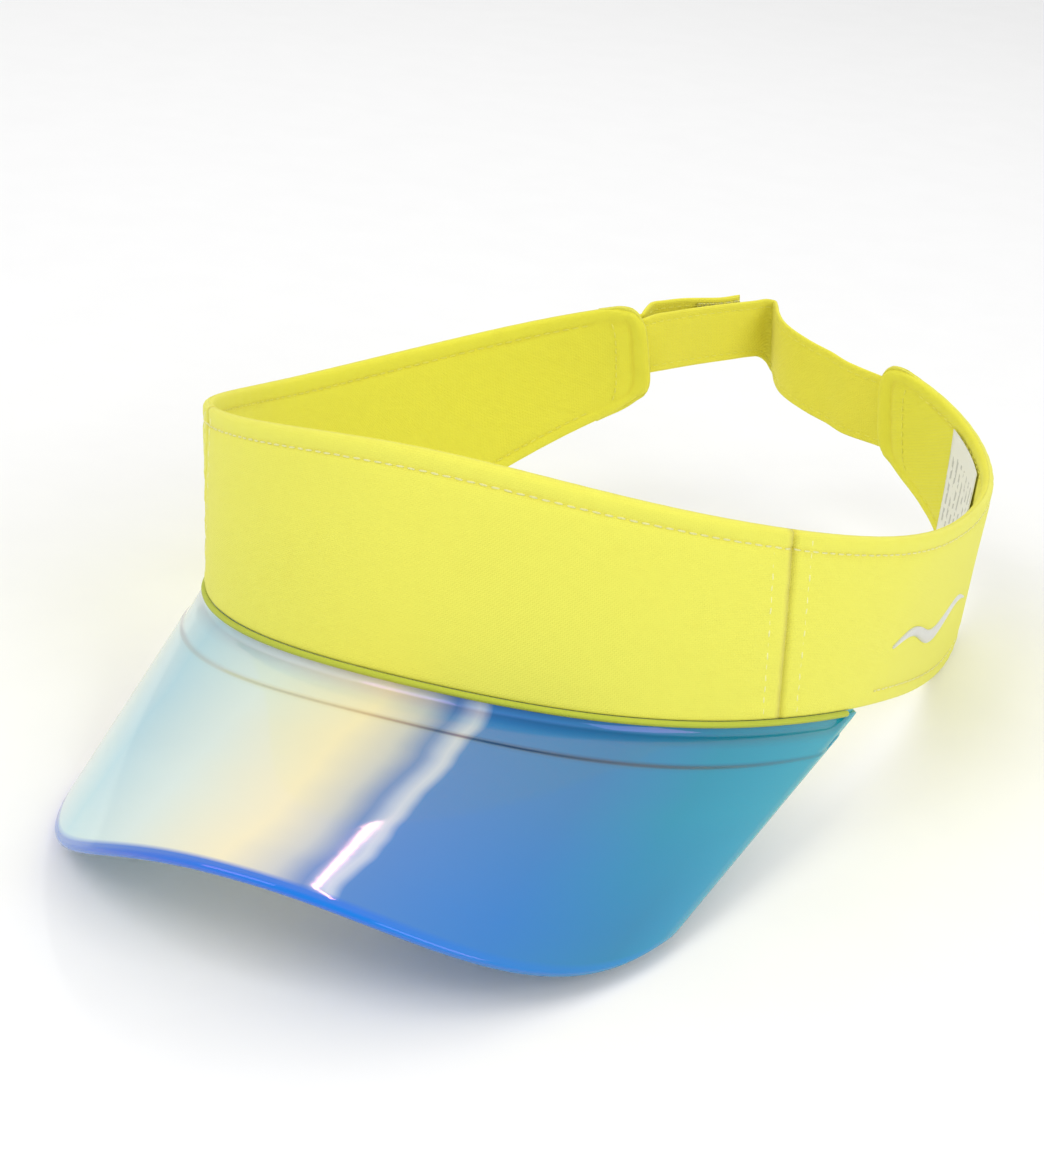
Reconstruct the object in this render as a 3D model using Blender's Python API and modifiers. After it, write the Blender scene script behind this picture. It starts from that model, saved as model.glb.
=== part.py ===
"""Sun visor: a soft head band, a clear moulded brim and a hook-and-loop back strap.

Metres, +Z up.  The wearer looks along -Y and the wearer's left is +X.  The band is a
strip bent along a curvature profile, so most places on it are given as (s, v, depth):
s is the distance along the strip from the middle of the forehead, positive to the
wearer's left, v runs from 0 at the lower edge to 1 at the upper edge, and depth is
measured outward from the band's outer face.
"""

import math

import bmesh
import bpy
import numpy as np
from mathutils import Matrix, Vector

# ---- driving dimensions -------------------------------------------------------------
GAP = 0.0003  # clearance kept between pieces that touch

# Band: a strip of this half length, bent by a curvature (1/m) that changes along it.
HALF_LENGTH = 0.2924
CURVATURE_AT = (-1.0, -0.828, -0.655, -0.466, -0.31, -0.155, 0.0,
                0.155, 0.31, 0.466, 0.655, 0.828, 1.0)  # fractions of HALF_LENGTH
CURVATURE = (16.1, 11.2, 11.2, 8.8, 8.8, 11.8, 8.8, 11.8, 8.8, 8.8, 2.5, 14.2, 22.9)
FRONT_Y = -0.118
EDGE_AT = (-1.0, -0.81, -0.62, -0.414, -0.207, 0.0, 0.207, 0.414, 0.62, 0.81, 1.0)
TOP_HEIGHT = (0.0610, 0.0481, 0.0478, 0.0638, 0.0823, 0.0924,
              0.0823, 0.0638, 0.0478, 0.0401, 0.0500)
WIDTH_AT = (-1.0, -0.724, -0.483, -0.241, 0.0, 0.241, 0.483, 0.724, 1.0)
WIDTH = (0.0350, 0.0548, 0.0488, 0.0500, 0.0525, 0.0500, 0.0488, 0.0548, 0.0360)
LEAN_AT = (-1.0, -0.62, -0.31, 0.0, 0.31, 0.62, 1.0)
LEAN = (0.0110, -0.0085, 0.0007, 0.0109, 0.0007, -0.0085, 0.0080)  # lower edge outward
END_BULGE = 0.004  # how far the rounded wing ends reach past HALF_LENGTH
END_INSET = 0.006  # and how far short of it their corners stop
END_SQUARENESS = 3.6
SEAM_AT = 0.0884  # the seams between the front and the side panels
SEAM_GAP = 0.0004

SHELL_THICK = 0.0006
STIFFENER_THICK = 0.0012
LINING_THICK = 0.0006
SWEATBAND_THICK = 0.0010
POCKET_DEPTH = -SHELL_THICK - GAP - STIFFENER_THICK / 2  # middle of the stiffener layer
LINING_DEPTH = -SHELL_THICK - 2 * GAP - STIFFENER_THICK - LINING_THICK / 2
SWEATBAND_DEPTH = LINING_DEPTH - LINING_THICK / 2 - GAP - SWEATBAND_THICK / 2
SWEATBAND_V = (0.02, 0.5)
FRONT_STIFFENER_V = (0.16, 0.97)  # it starts above the brim's flange
WING_STIFFENER_V = (0.06, 0.94)
WING_STIFFENER_ENDS = (0.002, 0.030)  # from the brim's corner and from the wing's end

# Piping: a cord under the front panel's lower edge.
PIPING_RADIUS = 0.0008
PIPING_INSET = 0.004  # from the brim's corners
PIPING_DEPTH = 0.0006

# Brim: ruled from the band's lower edge to a front edge in the shape of a flattened bow.
BRIM_HALF_BASE = 0.1202
BRIM_THICK = 0.0022
FLANGE_THICK = 0.0008
FLANGE_HEIGHT = 0.0050
BRIM_CORNER_X = 0.0745
BRIM_CORNER_Y = -0.1415
BRIM_REACH = 0.0671
BRIM_RISE = 0.0305
BRIM_LIFT = 0.0026
BRIM_POWERS = (0.91, 1.20, 3.3)  # squareness in x, squareness in y, sharpness of the arch
BRIM_START = (0.0030, 0.0046)  # where the sheet starts, outward of and below the flange
BRIM_BEND = ((0.0, 0.0004, FLANGE_THICK), (0.0006, 0.0034, 0.0012))  # the bend before it
BRIM_ROWS = (0.3, 0.55, 0.8, 1.0)  # shares of the way to the front edge
STEP_AT = 0.009  # the moulded step runs this far in front of the band
STEP_THICK = 0.0015  # the sheet behind the step
STEP_RISE = 0.012  # share of the way over which it thickens

# Strap, ring and closure.
STRAP_WIDTH = 0.0200
STRAP_THICK = 0.0012
RING_WIRE = 0.0024
RING_HEIGHT = 0.0262
RING_WIDTH = 0.0080  # between the middles of its two upright bars
RING_CORNER = 0.0016
RING_CLEARANCE = 0.0008
PAD_THICK = 0.0006

PITCH = math.radians(3.7)  # the band tips forward and aside until both wings and a
ROLL = math.radians(-1.1)  # tip of the brim stand on the same level
COLUMN_STEP = 0.0115  # rough spacing of the columns where the band's faces meet
COLUMN_MARGIN = 0.001  # the closest that a piece's end comes to a column


# ---- curves ---------------------------------------------------------------------------
def spline(knots, values):
    """A natural cubic through the points, as a function of arrays or numbers."""
    x, y = np.asarray(knots, float), np.asarray(values, float)
    step = np.diff(x)
    n = len(x)
    system, right = np.eye(n), np.zeros(n)
    for i in range(1, n - 1):
        system[i, i - 1 : i + 2] = step[i - 1], 2 * (step[i - 1] + step[i]), step[i]
        right[i] = 6 * ((y[i + 1] - y[i]) / step[i] - (y[i] - y[i - 1]) / step[i - 1])
    bend = np.linalg.solve(system, right)

    def value(at):
        at = np.asarray(at, float)
        i = np.clip(np.searchsorted(x, at) - 1, 0, n - 2)
        a, b, h = x[i + 1] - at, at - x[i], step[i]
        cubic = (bend[i] * a**3 + bend[i + 1] * b**3) / (6 * h)
        return cubic + (y[i] / h - bend[i] * h / 6) * a + (y[i + 1] / h - bend[i + 1] * h / 6) * b

    return value


def band_path():
    """Plan position and heading along the strip, from its curvature profile."""
    s = np.linspace(-1.1, 1.1, 1101) * HALF_LENGTH
    inside = np.clip(s / HALF_LENGTH, -1.0, 1.0)
    curvature = spline(CURVATURE_AT, CURVATURE)(inside)
    middle = len(s) // 2

    def integral(rate):
        total = np.concatenate([[0], np.cumsum((rate[1:] + rate[:-1]) / 2 * np.diff(s))])
        return total - total[middle]

    heading = integral(curvature)
    x, y = integral(np.cos(heading)), integral(np.sin(heading)) + FRONT_Y
    return s, x, y, heading


PATH_S, PATH_X, PATH_Y, PATH_HEADING = band_path()
top_height = spline(EDGE_AT, TOP_HEIGHT)
edge_width = spline(WIDTH_AT, WIDTH)
edge_lean = spline(LEAN_AT, LEAN)


def outward(s):
    heading = np.interp(s, PATH_S, PATH_HEADING)
    return Vector((math.sin(heading), -math.cos(heading), 0))


def along(s):
    heading = np.interp(s, PATH_S, PATH_HEADING)
    return Vector((math.cos(heading), math.sin(heading), 0))


def band_columns():
    """Where the flat faces of the band meet: all its layers share these."""
    front = np.linspace(-SEAM_AT, SEAM_AT, 2 * round(SEAM_AT / COLUMN_STEP) + 2)
    last = HALF_LENGTH - END_INSET - COLUMN_MARGIN
    wing = np.linspace(SEAM_AT, last, round((last - SEAM_AT) / COLUMN_STEP) + 1)
    wing = np.append(wing, HALF_LENGTH + END_BULGE)
    return np.concatenate([-wing[:0:-1], front, wing[1:]])


BAND_COLUMNS = band_columns()


def column_point(s, v, depth):
    """A point of the smooth band."""
    u = max(-1.0, min(1.0, s / HALF_LENGTH))
    width, lean = float(edge_width(u)), float(edge_lean(u))
    base = Vector((np.interp(s, PATH_S, PATH_X), np.interp(s, PATH_S, PATH_Y), 0))
    height = float(top_height(u)) - width * (1 - v)
    return base + outward(s) * (lean * (1 - v) + depth) + Vector((0, 0, height))


def band_point(s, v, depth=0.0):
    """A point of the band's flat faces, see the top of the file."""
    i = int(np.clip(np.searchsorted(BAND_COLUMNS, s) - 1, 0, len(BAND_COLUMNS) - 2))
    first, second = BAND_COLUMNS[i], BAND_COLUMNS[i + 1]
    share = (s - first) / (second - first)
    return column_point(first, v, depth).lerp(column_point(second, v, depth), share)


def end_at(v):
    """How far the rounded wing ends reach at the height v."""
    bow = math.sqrt(1 - abs(2 * v - 1) ** END_SQUARENESS)
    return HALF_LENGTH - END_INSET + (END_BULGE + END_INSET) * bow


# ---- meshes, materials and objects -------------------------------------------------------
def clear_scene():
    for obj in list(bpy.data.objects):
        bpy.data.objects.remove(obj, do_unlink=True)


def material(name, colour, roughness, metallic=0.0, alpha=1.0, transmission=0.0):
    made = bpy.data.materials.new(name)
    made.use_nodes = True
    shader = made.node_tree.nodes["Principled BSDF"]
    shader.inputs["Base Color"].default_value = (*colour, 1.0)
    shader.inputs["Roughness"].default_value = roughness
    shader.inputs["Metallic"].default_value = metallic
    shader.inputs["Alpha"].default_value = alpha
    shader.inputs["Transmission Weight"].default_value = transmission
    return made


def make_materials():
    return {
        "shell_cloth": material("shell_cloth", (0.82, 0.80, 0.09), 0.85),
        "lining_cloth": material("lining_cloth", (0.78, 0.74, 0.08), 0.90),
        "sweat_terry": material("sweat_terry", (0.80, 0.78, 0.12), 0.95),
        "foam": material("foam", (0.85, 0.85, 0.80), 0.95),
        "brim_clear": material("brim_clear", (0.18, 0.50, 0.80), 0.05, alpha=0.7, transmission=0.6),
        "piping_cloth": material("piping_cloth", (0.62, 0.68, 0.10), 0.80),
        "strap_cloth": material("strap_cloth", (0.80, 0.77, 0.08), 0.85),
        "ring_plastic": material("ring_plastic", (0.80, 0.78, 0.12), 0.30),
        "hook_nylon": material("hook_nylon", (0.78, 0.76, 0.15), 0.60),
        "label_satin": material("label_satin", (0.92, 0.92, 0.90), 0.50),
        "motif_thread": material("motif_thread", (0.95, 0.95, 0.93), 0.55),
    }


def add_object(name, mesh, cloth, origin=(0, 0, 0)):
    """Puts a mesh given in the band's frame into the scene, with its origin at a point of it."""
    origin = Vector(origin)
    mesh.transform(Matrix.Translation(-origin))
    mesh.materials.append(MATERIALS[cloth])
    mesh.shade_smooth()
    mesh.set_sharp_from_angle(angle=math.radians(40))
    obj = bpy.data.objects.new(name, mesh)
    obj.matrix_world = STANDING @ Matrix.Translation(origin)
    PARTS.objects.link(obj)
    return obj


def grid_mesh(name, rows):
    """An open sheet through rows of points."""
    mesh = bpy.data.meshes.new(name)
    count = len(rows[0])
    faces = [
        (i * count + j, i * count + j + 1, (i + 1) * count + j + 1, (i + 1) * count + j)
        for i in range(len(rows) - 1)
        for j in range(count - 1)
    ]
    mesh.from_pydata([tuple(p) for row in rows for p in row], [], faces)
    mesh.update()
    return mesh


def solidify(obj, thickness):
    solid = obj.modifiers.new("thickness", "SOLIDIFY")
    solid.thickness = thickness
    solid.offset = 0.0
    solid.use_even_offset = True
    solid.use_quality_normals = True
    return obj


def sheet(name, rows, thickness, cloth, origin=(0, 0, 0)):
    """A sheet of cloth whose middle surface runs through the rows."""
    return solidify(add_object(name, grid_mesh(name, rows), cloth, origin), thickness)


def closed_loft(name, upper, lower):
    """A closed body between two grids of the same size that don't meet."""
    mesh = bpy.data.meshes.new(name)
    rows, count = len(upper), len(upper[0])
    size = rows * count
    points = [tuple(p) for grid in (upper, lower) for row in grid for p in row]

    def at(i, j, side):
        return side * size + i * count + j

    faces = []
    for i in range(rows - 1):
        for j in range(count - 1):
            quad = [(i, j), (i, j + 1), (i + 1, j + 1), (i + 1, j)]
            faces.append([at(*corner, 0) for corner in quad])
            faces.append([at(*corner, 1) for corner in reversed(quad)])
    rim = [(0, j) for j in range(count)] + [(i, count - 1) for i in range(1, rows)]
    rim += [(rows - 1, j) for j in range(count - 2, -1, -1)] + [(i, 0) for i in range(rows - 2, 0, -1)]
    for first, second in zip(rim, rim[1:] + rim[:1]):
        faces.append([at(*second, 0), at(*first, 0), at(*first, 1), at(*second, 1)])
    mesh.from_pydata(points, [], faces)
    body = bmesh.new()
    body.from_mesh(mesh)
    bmesh.ops.recalc_face_normals(body, faces=body.faces)
    body.to_mesh(mesh)
    body.free()
    return mesh


# ---- the band ----------------------------------------------------------------------------
def columns(start, end):
    """The band's columns between two places along it, with both ends."""
    inside = [c for c in BAND_COLUMNS if start + COLUMN_MARGIN < c < end - COLUMN_MARGIN]
    return [start, *inside, end]


def patch(name, depth, thickness, cloth, start, end, low, high):
    """One layer over a four-sided part of the band."""
    rows = [[band_point(s, v, depth) for s in columns(start, end)] for v in np.linspace(low, high, 4)]
    return sheet(name, rows, thickness, cloth)


def wing_layer(name, side, depth, thickness, cloth):
    """One layer of a side panel, from the seam to the rounded wing end."""
    start = SEAM_AT + SEAM_GAP / 2
    rows = []
    for turn in np.linspace(0, math.pi, 8):
        v = (1 - math.cos(turn)) / 2
        spots = columns(start, HALF_LENGTH - END_INSET + COLUMN_MARGIN)[:-1] + [end_at(v)]
        row = [band_point(side * s, v, depth) for s in spots]
        rows.append(row if side > 0 else row[::-1])
    return sheet(name, rows, thickness, cloth)


def make_band():
    seam = SEAM_AT - SEAM_GAP / 2
    base = BRIM_HALF_BASE
    patch("front_panel", -SHELL_THICK / 2, SHELL_THICK, "shell_cloth", -seam, seam, 0.0, 1.0)
    patch("front_stiffener", POCKET_DEPTH, STIFFENER_THICK, "foam", -base, base, *FRONT_STIFFENER_V)
    patch("front_lining", LINING_DEPTH, LINING_THICK, "lining_cloth", -seam, seam, 0.0, 1.0)
    patch("sweatband", SWEATBAND_DEPTH, SWEATBAND_THICK, "sweat_terry", -base, base, *SWEATBAND_V)
    for side, word in ((1, "left"), (-1, "right")):
        wing_layer(f"side_panel_{word}", side, -SHELL_THICK / 2, SHELL_THICK, "shell_cloth")
        wing_layer(f"lining_{word}", side, LINING_DEPTH, LINING_THICK, "lining_cloth")
        inner, outer = base + WING_STIFFENER_ENDS[0], HALF_LENGTH - WING_STIFFENER_ENDS[1]
        ends = sorted((side * inner, side * outer))
        patch(f"stiffener_{word}", POCKET_DEPTH, STIFFENER_THICK, "foam", *ends, *WING_STIFFENER_V)


# ---- the brim ----------------------------------------------------------------------------
def brim_front_point(turn):
    """The front edge, for turn from -90 to 90 degrees."""
    px, py, pz = BRIM_POWERS
    sine, cosine = math.sin(turn), max(0.0, math.cos(turn))
    x = BRIM_CORNER_X * math.copysign(abs(sine) ** px, sine)
    return Vector((x, BRIM_CORNER_Y - BRIM_REACH * cosine**py, BRIM_LIFT + BRIM_RISE * cosine**pz))


def brim_path(s, turn):
    """The middle line of the brim from the flange's top to the front edge, and its thickness."""
    base = band_point(s, 0.0, POCKET_DEPTH)
    out, up = outward(s), Vector((0, 0, 1))
    front = brim_front_point(turn)
    start = base + out * BRIM_START[0] - up * BRIM_START[1]
    run = front - start
    step = min(0.4, STEP_AT / run.length)
    path = [
        (band_point(s, FLANGE_HEIGHT / float(edge_width(s / HALF_LENGTH)), POCKET_DEPTH), FLANGE_THICK),
        (base - up * BRIM_BEND[0][1], FLANGE_THICK),
        (base + out * BRIM_BEND[1][0] - up * BRIM_BEND[1][1], BRIM_BEND[1][2]),
        (start, STEP_THICK),
        (start + run * step, STEP_THICK),
        (start + run * (step + STEP_RISE), BRIM_THICK),
    ]
    for share in BRIM_ROWS:
        path.append((start + run * share, BRIM_THICK))
    return path


def make_brim():
    upper, lower = [], []
    spots = columns(-BRIM_HALF_BASE, BRIM_HALF_BASE)
    middles = [(a + b) / 2 for a, b in zip(spots, spots[1:])]
    for s in sorted(spots + middles):
        share = s / BRIM_HALF_BASE
        path = brim_path(share * BRIM_HALF_BASE, share * math.pi / 2)
        points = [p for p, _ in path]
        side_way = brim_path(min(1, share + 0.02) * BRIM_HALF_BASE, min(1, share + 0.02) * math.pi / 2)
        back_way = brim_path(max(-1, share - 0.02) * BRIM_HALF_BASE, max(-1, share - 0.02) * math.pi / 2)
        high, low = [], []
        for i, (point, thick) in enumerate(path):
            before, after = points[max(0, i - 1)], points[min(len(points) - 1, i + 1)]
            across = side_way[i][0] - back_way[i][0]
            normal = across.cross(after - before).normalized()
            high.append(point - normal * thick / 2)
            low.append(point + normal * thick / 2)
        upper.append(high)
        lower.append(low)
    mesh = closed_loft("brim", upper, lower)
    return add_object("brim", mesh, "brim_clear")


def tube(name, points, radius, cloth, cyclic=False):
    """A round cord or wire through the points, as one closed mesh."""
    curve = bpy.data.curves.new(name, "CURVE")
    curve.dimensions = "3D"
    curve.bevel_depth = radius
    curve.bevel_resolution = 2
    curve.use_fill_caps = not cyclic
    line = curve.splines.new("POLY")
    line.points.add(len(points) - 1)
    for spot, point in zip(line.points, points):
        spot.co = (*point, 1.0)
    line.use_cyclic_u = cyclic
    guide = bpy.data.objects.new(name + "_guide", curve)
    PARTS.objects.link(guide)
    graph = bpy.context.evaluated_depsgraph_get()
    mesh = bpy.data.meshes.new_from_object(guide.evaluated_get(graph))
    bpy.data.objects.remove(guide, do_unlink=True)
    mesh.name = name
    body = bmesh.new()
    body.from_mesh(mesh)
    bmesh.ops.remove_doubles(body, verts=body.verts, dist=1e-6)
    body.to_mesh(mesh)
    body.free()
    return mesh


def make_piping():
    """The narrow corded strip that shows between the front panel and the brim."""
    drop = Vector((0, 0, -PIPING_RADIUS - GAP))
    spots = columns(-BRIM_HALF_BASE + PIPING_INSET, BRIM_HALF_BASE - PIPING_INSET)
    points = [band_point(s, 0.0, PIPING_DEPTH) + drop for s in spots]
    cord = tube("brim_piping", points, PIPING_RADIUS, "piping_cloth")
    return add_object("brim_piping", cord, "piping_cloth")


# ---- the strap and its closure --------------------------------------------------------------
# The strap's upper edge in plan, from the wearer's-left wing to the other one, with the
# height of that edge.  It is creased outward once, near the middle of the back.
STRAP_PLAN = (
    (0.0375, 0.1013, 0.0455), (0.0315, 0.1036, 0.0468), (0.0255, 0.1052, 0.0480),
    (0.0195, 0.1072, 0.0495), (0.0140, 0.1112, 0.0506), (0.0105, 0.1165, 0.0514),
    (0.0083, 0.1215, 0.0519), (0.0069, 0.1236, 0.0521), (0.0050, 0.1228, 0.0524),
    (0.0026, 0.1186, 0.0528), (-0.0035, 0.1080, 0.0540), (-0.0090, 0.0990, 0.0548),
    (-0.0135, 0.0905, 0.0556), (-0.0170, 0.0845, 0.0560),
)
TAIL_PLAN = (
    (-0.0215, 0.0912, 0.0565), (-0.0185, 0.0965, 0.0562), (-0.0150, 0.1015, 0.0558),
    (-0.0105, 0.1060, 0.0553), (-0.0060, 0.1105, 0.0548), (-0.0022, 0.1168, 0.0544),
)
STRAP_LEAN = 0.0040  # how far its lower edge stands outward of its upper edge
RING_BAR_AT = -(HALF_LENGTH - 0.010)
LEG_DEPTH = 0.0006 + STRAP_THICK / 2  # the strap's inner leg lies on the wing
BAR_DEPTH = LEG_DEPTH + STRAP_THICK / 2 + RING_CLEARANCE + RING_WIRE / 2
TURN_RADIUS = BAR_DEPTH - LEG_DEPTH
TAIL_DEPTH = BAR_DEPTH + TURN_RADIUS
TURN_END = math.radians(148)  # where the fixed part of the turn round the ring stops
WING_STRAP_V = 0.29  # height of the strap's lower edge on the wearer's-right wing end
PAD_LENGTH = 0.016
TAB_WIDTH = 0.014
TAB_LENGTH = 0.016
TAB_THICK = 0.0008
LABEL_AT = 0.247
LABEL_SIZE = (0.026, 0.034)
LABEL_THICK = 0.0005
LABEL_TOP_V = 0.92
LABEL_STANDOFF = 0.0050  # how far the label's free edge hangs off the lining
MOTIF_AT = (0.134, 0.206)
MOTIF_V = (0.35, 0.44)  # it climbs a little towards the back
MOTIF_SWING = 0.05
MOTIF_HALF = 0.040  # half its width where it is widest, as a share of the band's


def ribbon_mesh(name, edges):
    """An open ribbon between a lower and an upper edge, given as pairs of points."""
    return grid_mesh(name, [[low, (low + high) / 2, high] for low, high in edges])


def plan_edges(points):
    """Edges under a list of upper edge points, leaning to the outside of the head."""
    drop = math.sqrt(STRAP_WIDTH**2 - STRAP_LEAN**2)
    edges = []
    for point in points:
        high = Vector(point)
        away = Vector((high.x * 0.3, 1.0 - abs(high.x), 0)).normalized()
        edges.append((high + away * STRAP_LEAN - Vector((0, 0, drop)), high))
    return edges


def wing_edges(s, depth, low_v=WING_STRAP_V):
    """Edges of a strap lying on, or parallel to, a wing."""
    u = max(-1.0, min(1.0, s / HALF_LENGTH))
    share = STRAP_WIDTH / math.hypot(float(edge_width(u)), float(edge_lean(u)))
    return band_point(s, low_v, depth), band_point(s, low_v + share, depth)


def shifted(edges, distance):
    """The same ribbon moved sideways by a distance, to its left as it runs."""
    moved = []
    for i, (low, high) in enumerate(edges):
        before, after = edges[max(0, i - 1)][1], edges[min(len(edges) - 1, i + 1)][1]
        run = after - before
        left = Vector((-run.y, run.x, 0)).normalized()
        moved.append((low + left * distance, high + left * distance))
    return moved


def ring_turn(start, end, steps):
    """Edges on the arc round the ring's outer bar, from the inner leg at 0 to the tail at 180."""
    low, high = wing_edges(RING_BAR_AT, BAR_DEPTH)
    out, way = outward(RING_BAR_AT), along(RING_BAR_AT)
    edges = []
    for turn in np.linspace(start, end, steps):
        offset = (way * math.sin(turn) - out * math.cos(turn)) * TURN_RADIUS
        edges.append((low + offset, high + offset))
    return edges


def make_strap():
    """The strap from inside the wearer's-left wing to its turn round the ring."""
    sewn = columns(HALF_LENGTH - 0.024, HALF_LENGTH + 0.003)
    edges = [wing_edges(s, POCKET_DEPTH, 0.30) for s in sewn]
    edges += plan_edges(STRAP_PLAN)
    edges += [wing_edges(s, LEG_DEPTH) for s in np.linspace(-HALF_LENGTH - 0.001, RING_BAR_AT - 0.002, 4)]
    edges += ring_turn(0, TURN_END, 8)
    return solidify(add_object("strap", ribbon_mesh("strap", edges), "strap_cloth"), STRAP_THICK)


def make_closure():
    """The free tail with its hook pad, and the loop pad that it sticks to."""
    low, high = wing_edges(RING_BAR_AT, TAIL_DEPTH)
    edges = [wing_edges(s, TAIL_DEPTH) for s in np.linspace(RING_BAR_AT - 0.0004, -HALF_LENGTH, 4)]
    edges += plan_edges(TAIL_PLAN)
    tail = add_object("strap_tail", ribbon_mesh("strap_tail", edges), "strap_cloth", low)
    solidify(tail, STRAP_THICK)
    under = STRAP_THICK / 2 + GAP + PAD_THICK / 2
    tail_end = plan_edges(resampled(TAIL_PLAN, PAD_LENGTH, 5))
    hook = ribbon_mesh("hook_pad", trimmed(shifted(tail_end, -under)))
    solidify(add_object("hook_pad", hook, "hook_nylon", low), PAD_THICK)
    run = plan_edges(resampled(STRAP_PLAN[9:12], PAD_LENGTH + 0.004, 5))
    loop = ribbon_mesh("loop_pad", trimmed(shifted(run, -under)))
    solidify(add_object("loop_pad", loop, "hook_nylon"), PAD_THICK)
    return low, high


def resampled(points, length, count):
    """Evenly spaced points over the last length of a plan polyline."""
    points = [Vector(p) for p in points]
    reach = [0.0]
    for first, second in zip(points, points[1:]):
        reach.append(reach[-1] + (second - first).length)
    wanted = np.linspace(max(0.0, reach[-1] - length), reach[-1] - 0.001, count)
    columns_of = [np.interp(wanted, reach, [p[axis] for p in points]) for axis in range(3)]
    return [Vector(spot) for spot in zip(*columns_of)]


def trimmed(edges, margin=0.0015):
    """A ribbon made narrower by a margin along both edges."""
    narrow = []
    for low, high in edges:
        rise = (high - low).normalized() * margin
        narrow.append((low + rise, high - rise))
    return narrow


def ring_frame():
    """Middle of the ring's outer bar, the way to its tab bar, and the way up the bar."""
    low, high = wing_edges(RING_BAR_AT, BAR_DEPTH)
    return (low + high) / 2, along(RING_BAR_AT), (high - low).normalized()


def make_ring():
    middle, way, rise = ring_frame()
    corner, half = RING_CORNER, RING_HEIGHT / 2 - RING_WIRE / 2
    points = []
    corners = ((RING_WIDTH, half, 0), (0, half, 90), (0, -half, 180), (RING_WIDTH, -half, 270))
    for across, up, start in corners:
        inward = (across - math.copysign(corner, across - 0.001), up - math.copysign(corner, up))
        for turn in (start, start + 30, start + 60, start + 90):
            angle = math.radians(turn)
            x, z = inward[0] + corner * math.cos(angle), inward[1] + corner * math.sin(angle)
            points.append(middle + way * x + rise * z)
    mesh = tube("slide_ring", points, RING_WIRE / 2, "ring_plastic", cyclic=True)
    axis_foot = middle + way * RING_WIDTH
    add_object("slide_ring", mesh, "ring_plastic", axis_foot)
    return axis_foot, rise


def leaf_edges(s, height, depth):
    """Edges of one of the tab's leaves, centred at a height on the wing."""
    u = max(-1.0, min(1.0, s / HALF_LENGTH))
    width = float(edge_width(u))
    middle = 1 - (float(top_height(u)) - height) / width
    half = TAB_WIDTH / 2 / math.hypot(width, float(edge_lean(u)))
    return band_point(s, middle - half, depth), band_point(s, middle + half, depth)


def make_ring_tab():
    """A folded loop of cloth round the ring's tab bar, sewn to the outside of the wing."""
    middle, way, rise = ring_frame()
    out = outward(RING_BAR_AT)
    centre = middle + way * RING_WIDTH
    radius = RING_WIRE / 2 + 3 * GAP + TAB_THICK / 2
    lower_depth = GAP + TAB_THICK / 2
    start = RING_BAR_AT + RING_WIDTH
    spots = columns(start + 0.003, start + TAB_LENGTH)
    edges = [leaf_edges(s, centre.z, lower_depth) for s in reversed(spots)]
    for turn in np.linspace(-70, 70, 7):
        angle = math.radians(turn)
        foot = centre + (out * math.sin(angle) - way * math.cos(angle)) * radius
        edges.append((foot - rise * TAB_WIDTH / 2, foot + rise * TAB_WIDTH / 2))
    for s in spots:
        lift = 0.0064 * (1 - (s - start) / TAB_LENGTH)
        edges.append(leaf_edges(s, centre.z, lower_depth + TAB_THICK + GAP + lift))
    return solidify(add_object("ring_tab", ribbon_mesh("ring_tab", edges), "shell_cloth"), TAB_THICK)


def make_label():
    """A satin care label sewn along its upper edge to the wearer's-left lining."""
    width, drop = LABEL_SIZE
    close = LINING_DEPTH - LINING_THICK / 2 - GAP - LABEL_THICK / 2
    rows = []
    for share in np.linspace(0, 1, 5):
        row = []
        for s in columns(LABEL_AT - width / 2, LABEL_AT + width / 2):
            v = LABEL_TOP_V - share * drop / float(edge_width(s / HALF_LENGTH))
            row.append(band_point(s, v, close - LABEL_STANDOFF * share**1.5))
        rows.append(row)
    hinge = (rows[0][0] + rows[0][-1]) / 2
    sheet("care_label", rows, LABEL_THICK, "label_satin", hinge)
    return hinge


def make_motif():
    """A raised wave, embroidered low on the wearer's-left side panel."""
    start, end = MOTIF_AT
    depth = GAP + 0.0003
    rows = [[], []]
    for s in np.linspace(start, end, 25):
        phase = (s - start) / (end - start)
        level = MOTIF_V[0] + (MOTIF_V[1] - MOTIF_V[0]) * phase
        centre = level + MOTIF_SWING * math.sin(3 * math.pi * phase)
        half = MOTIF_HALF * math.sin(math.pi * (0.06 + 0.88 * phase))
        rows[0].append(band_point(s, centre - half, depth))
        rows[1].append(band_point(s, centre + half, depth))
    return sheet("side_motif", rows, 0.0006, "motif_thread")


def settle(parts):
    """Moves everything so that it rests on z = 0 with the middle of its box over the origin."""
    bpy.context.view_layer.update()
    graph = bpy.context.evaluated_depsgraph_get()
    low, high = Vector((9, 9, 9)), Vector((-9, -9, -9))
    for obj in parts:
        solid = obj.evaluated_get(graph)
        for vertex in solid.data.vertices:
            spot = solid.matrix_world @ vertex.co
            low = Vector(map(min, low, spot))
            high = Vector(map(max, high, spot))
    shift = Vector((-(low.x + high.x) / 2, -(low.y + high.y) / 2, -low.z))
    for obj in parts:
        obj.location += shift
    return shift


def build_all():
    make_band()
    make_brim()
    make_piping()
    make_strap()
    make_closure()
    make_ring()
    make_ring_tab()
    make_label()
    make_motif()
    settle(list(PARTS.objects))


clear_scene()
PARTS = bpy.data.collections.new("sun_visor")
bpy.context.scene.collection.children.link(PARTS)
MATERIALS = make_materials()
STANDING = Matrix.Rotation(ROLL, 4, "Y") @ Matrix.Rotation(PITCH, 4, "X")
build_all()
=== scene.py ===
"""The looks of a sun visor: cloth band, clear iridescent brim and hook-and-loop back strap.

Metres, +Z up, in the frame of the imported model.  Most pieces are built in the band's own
frame, as (s, v, depth): s runs along the strip from the middle of the forehead, positive
to the wearer's left, v runs from 0 at the lower edge to 1 at the upper edge, and depth is
measured outward from the outer face.  STANDING then sets them on the table.
"""

import math

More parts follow.
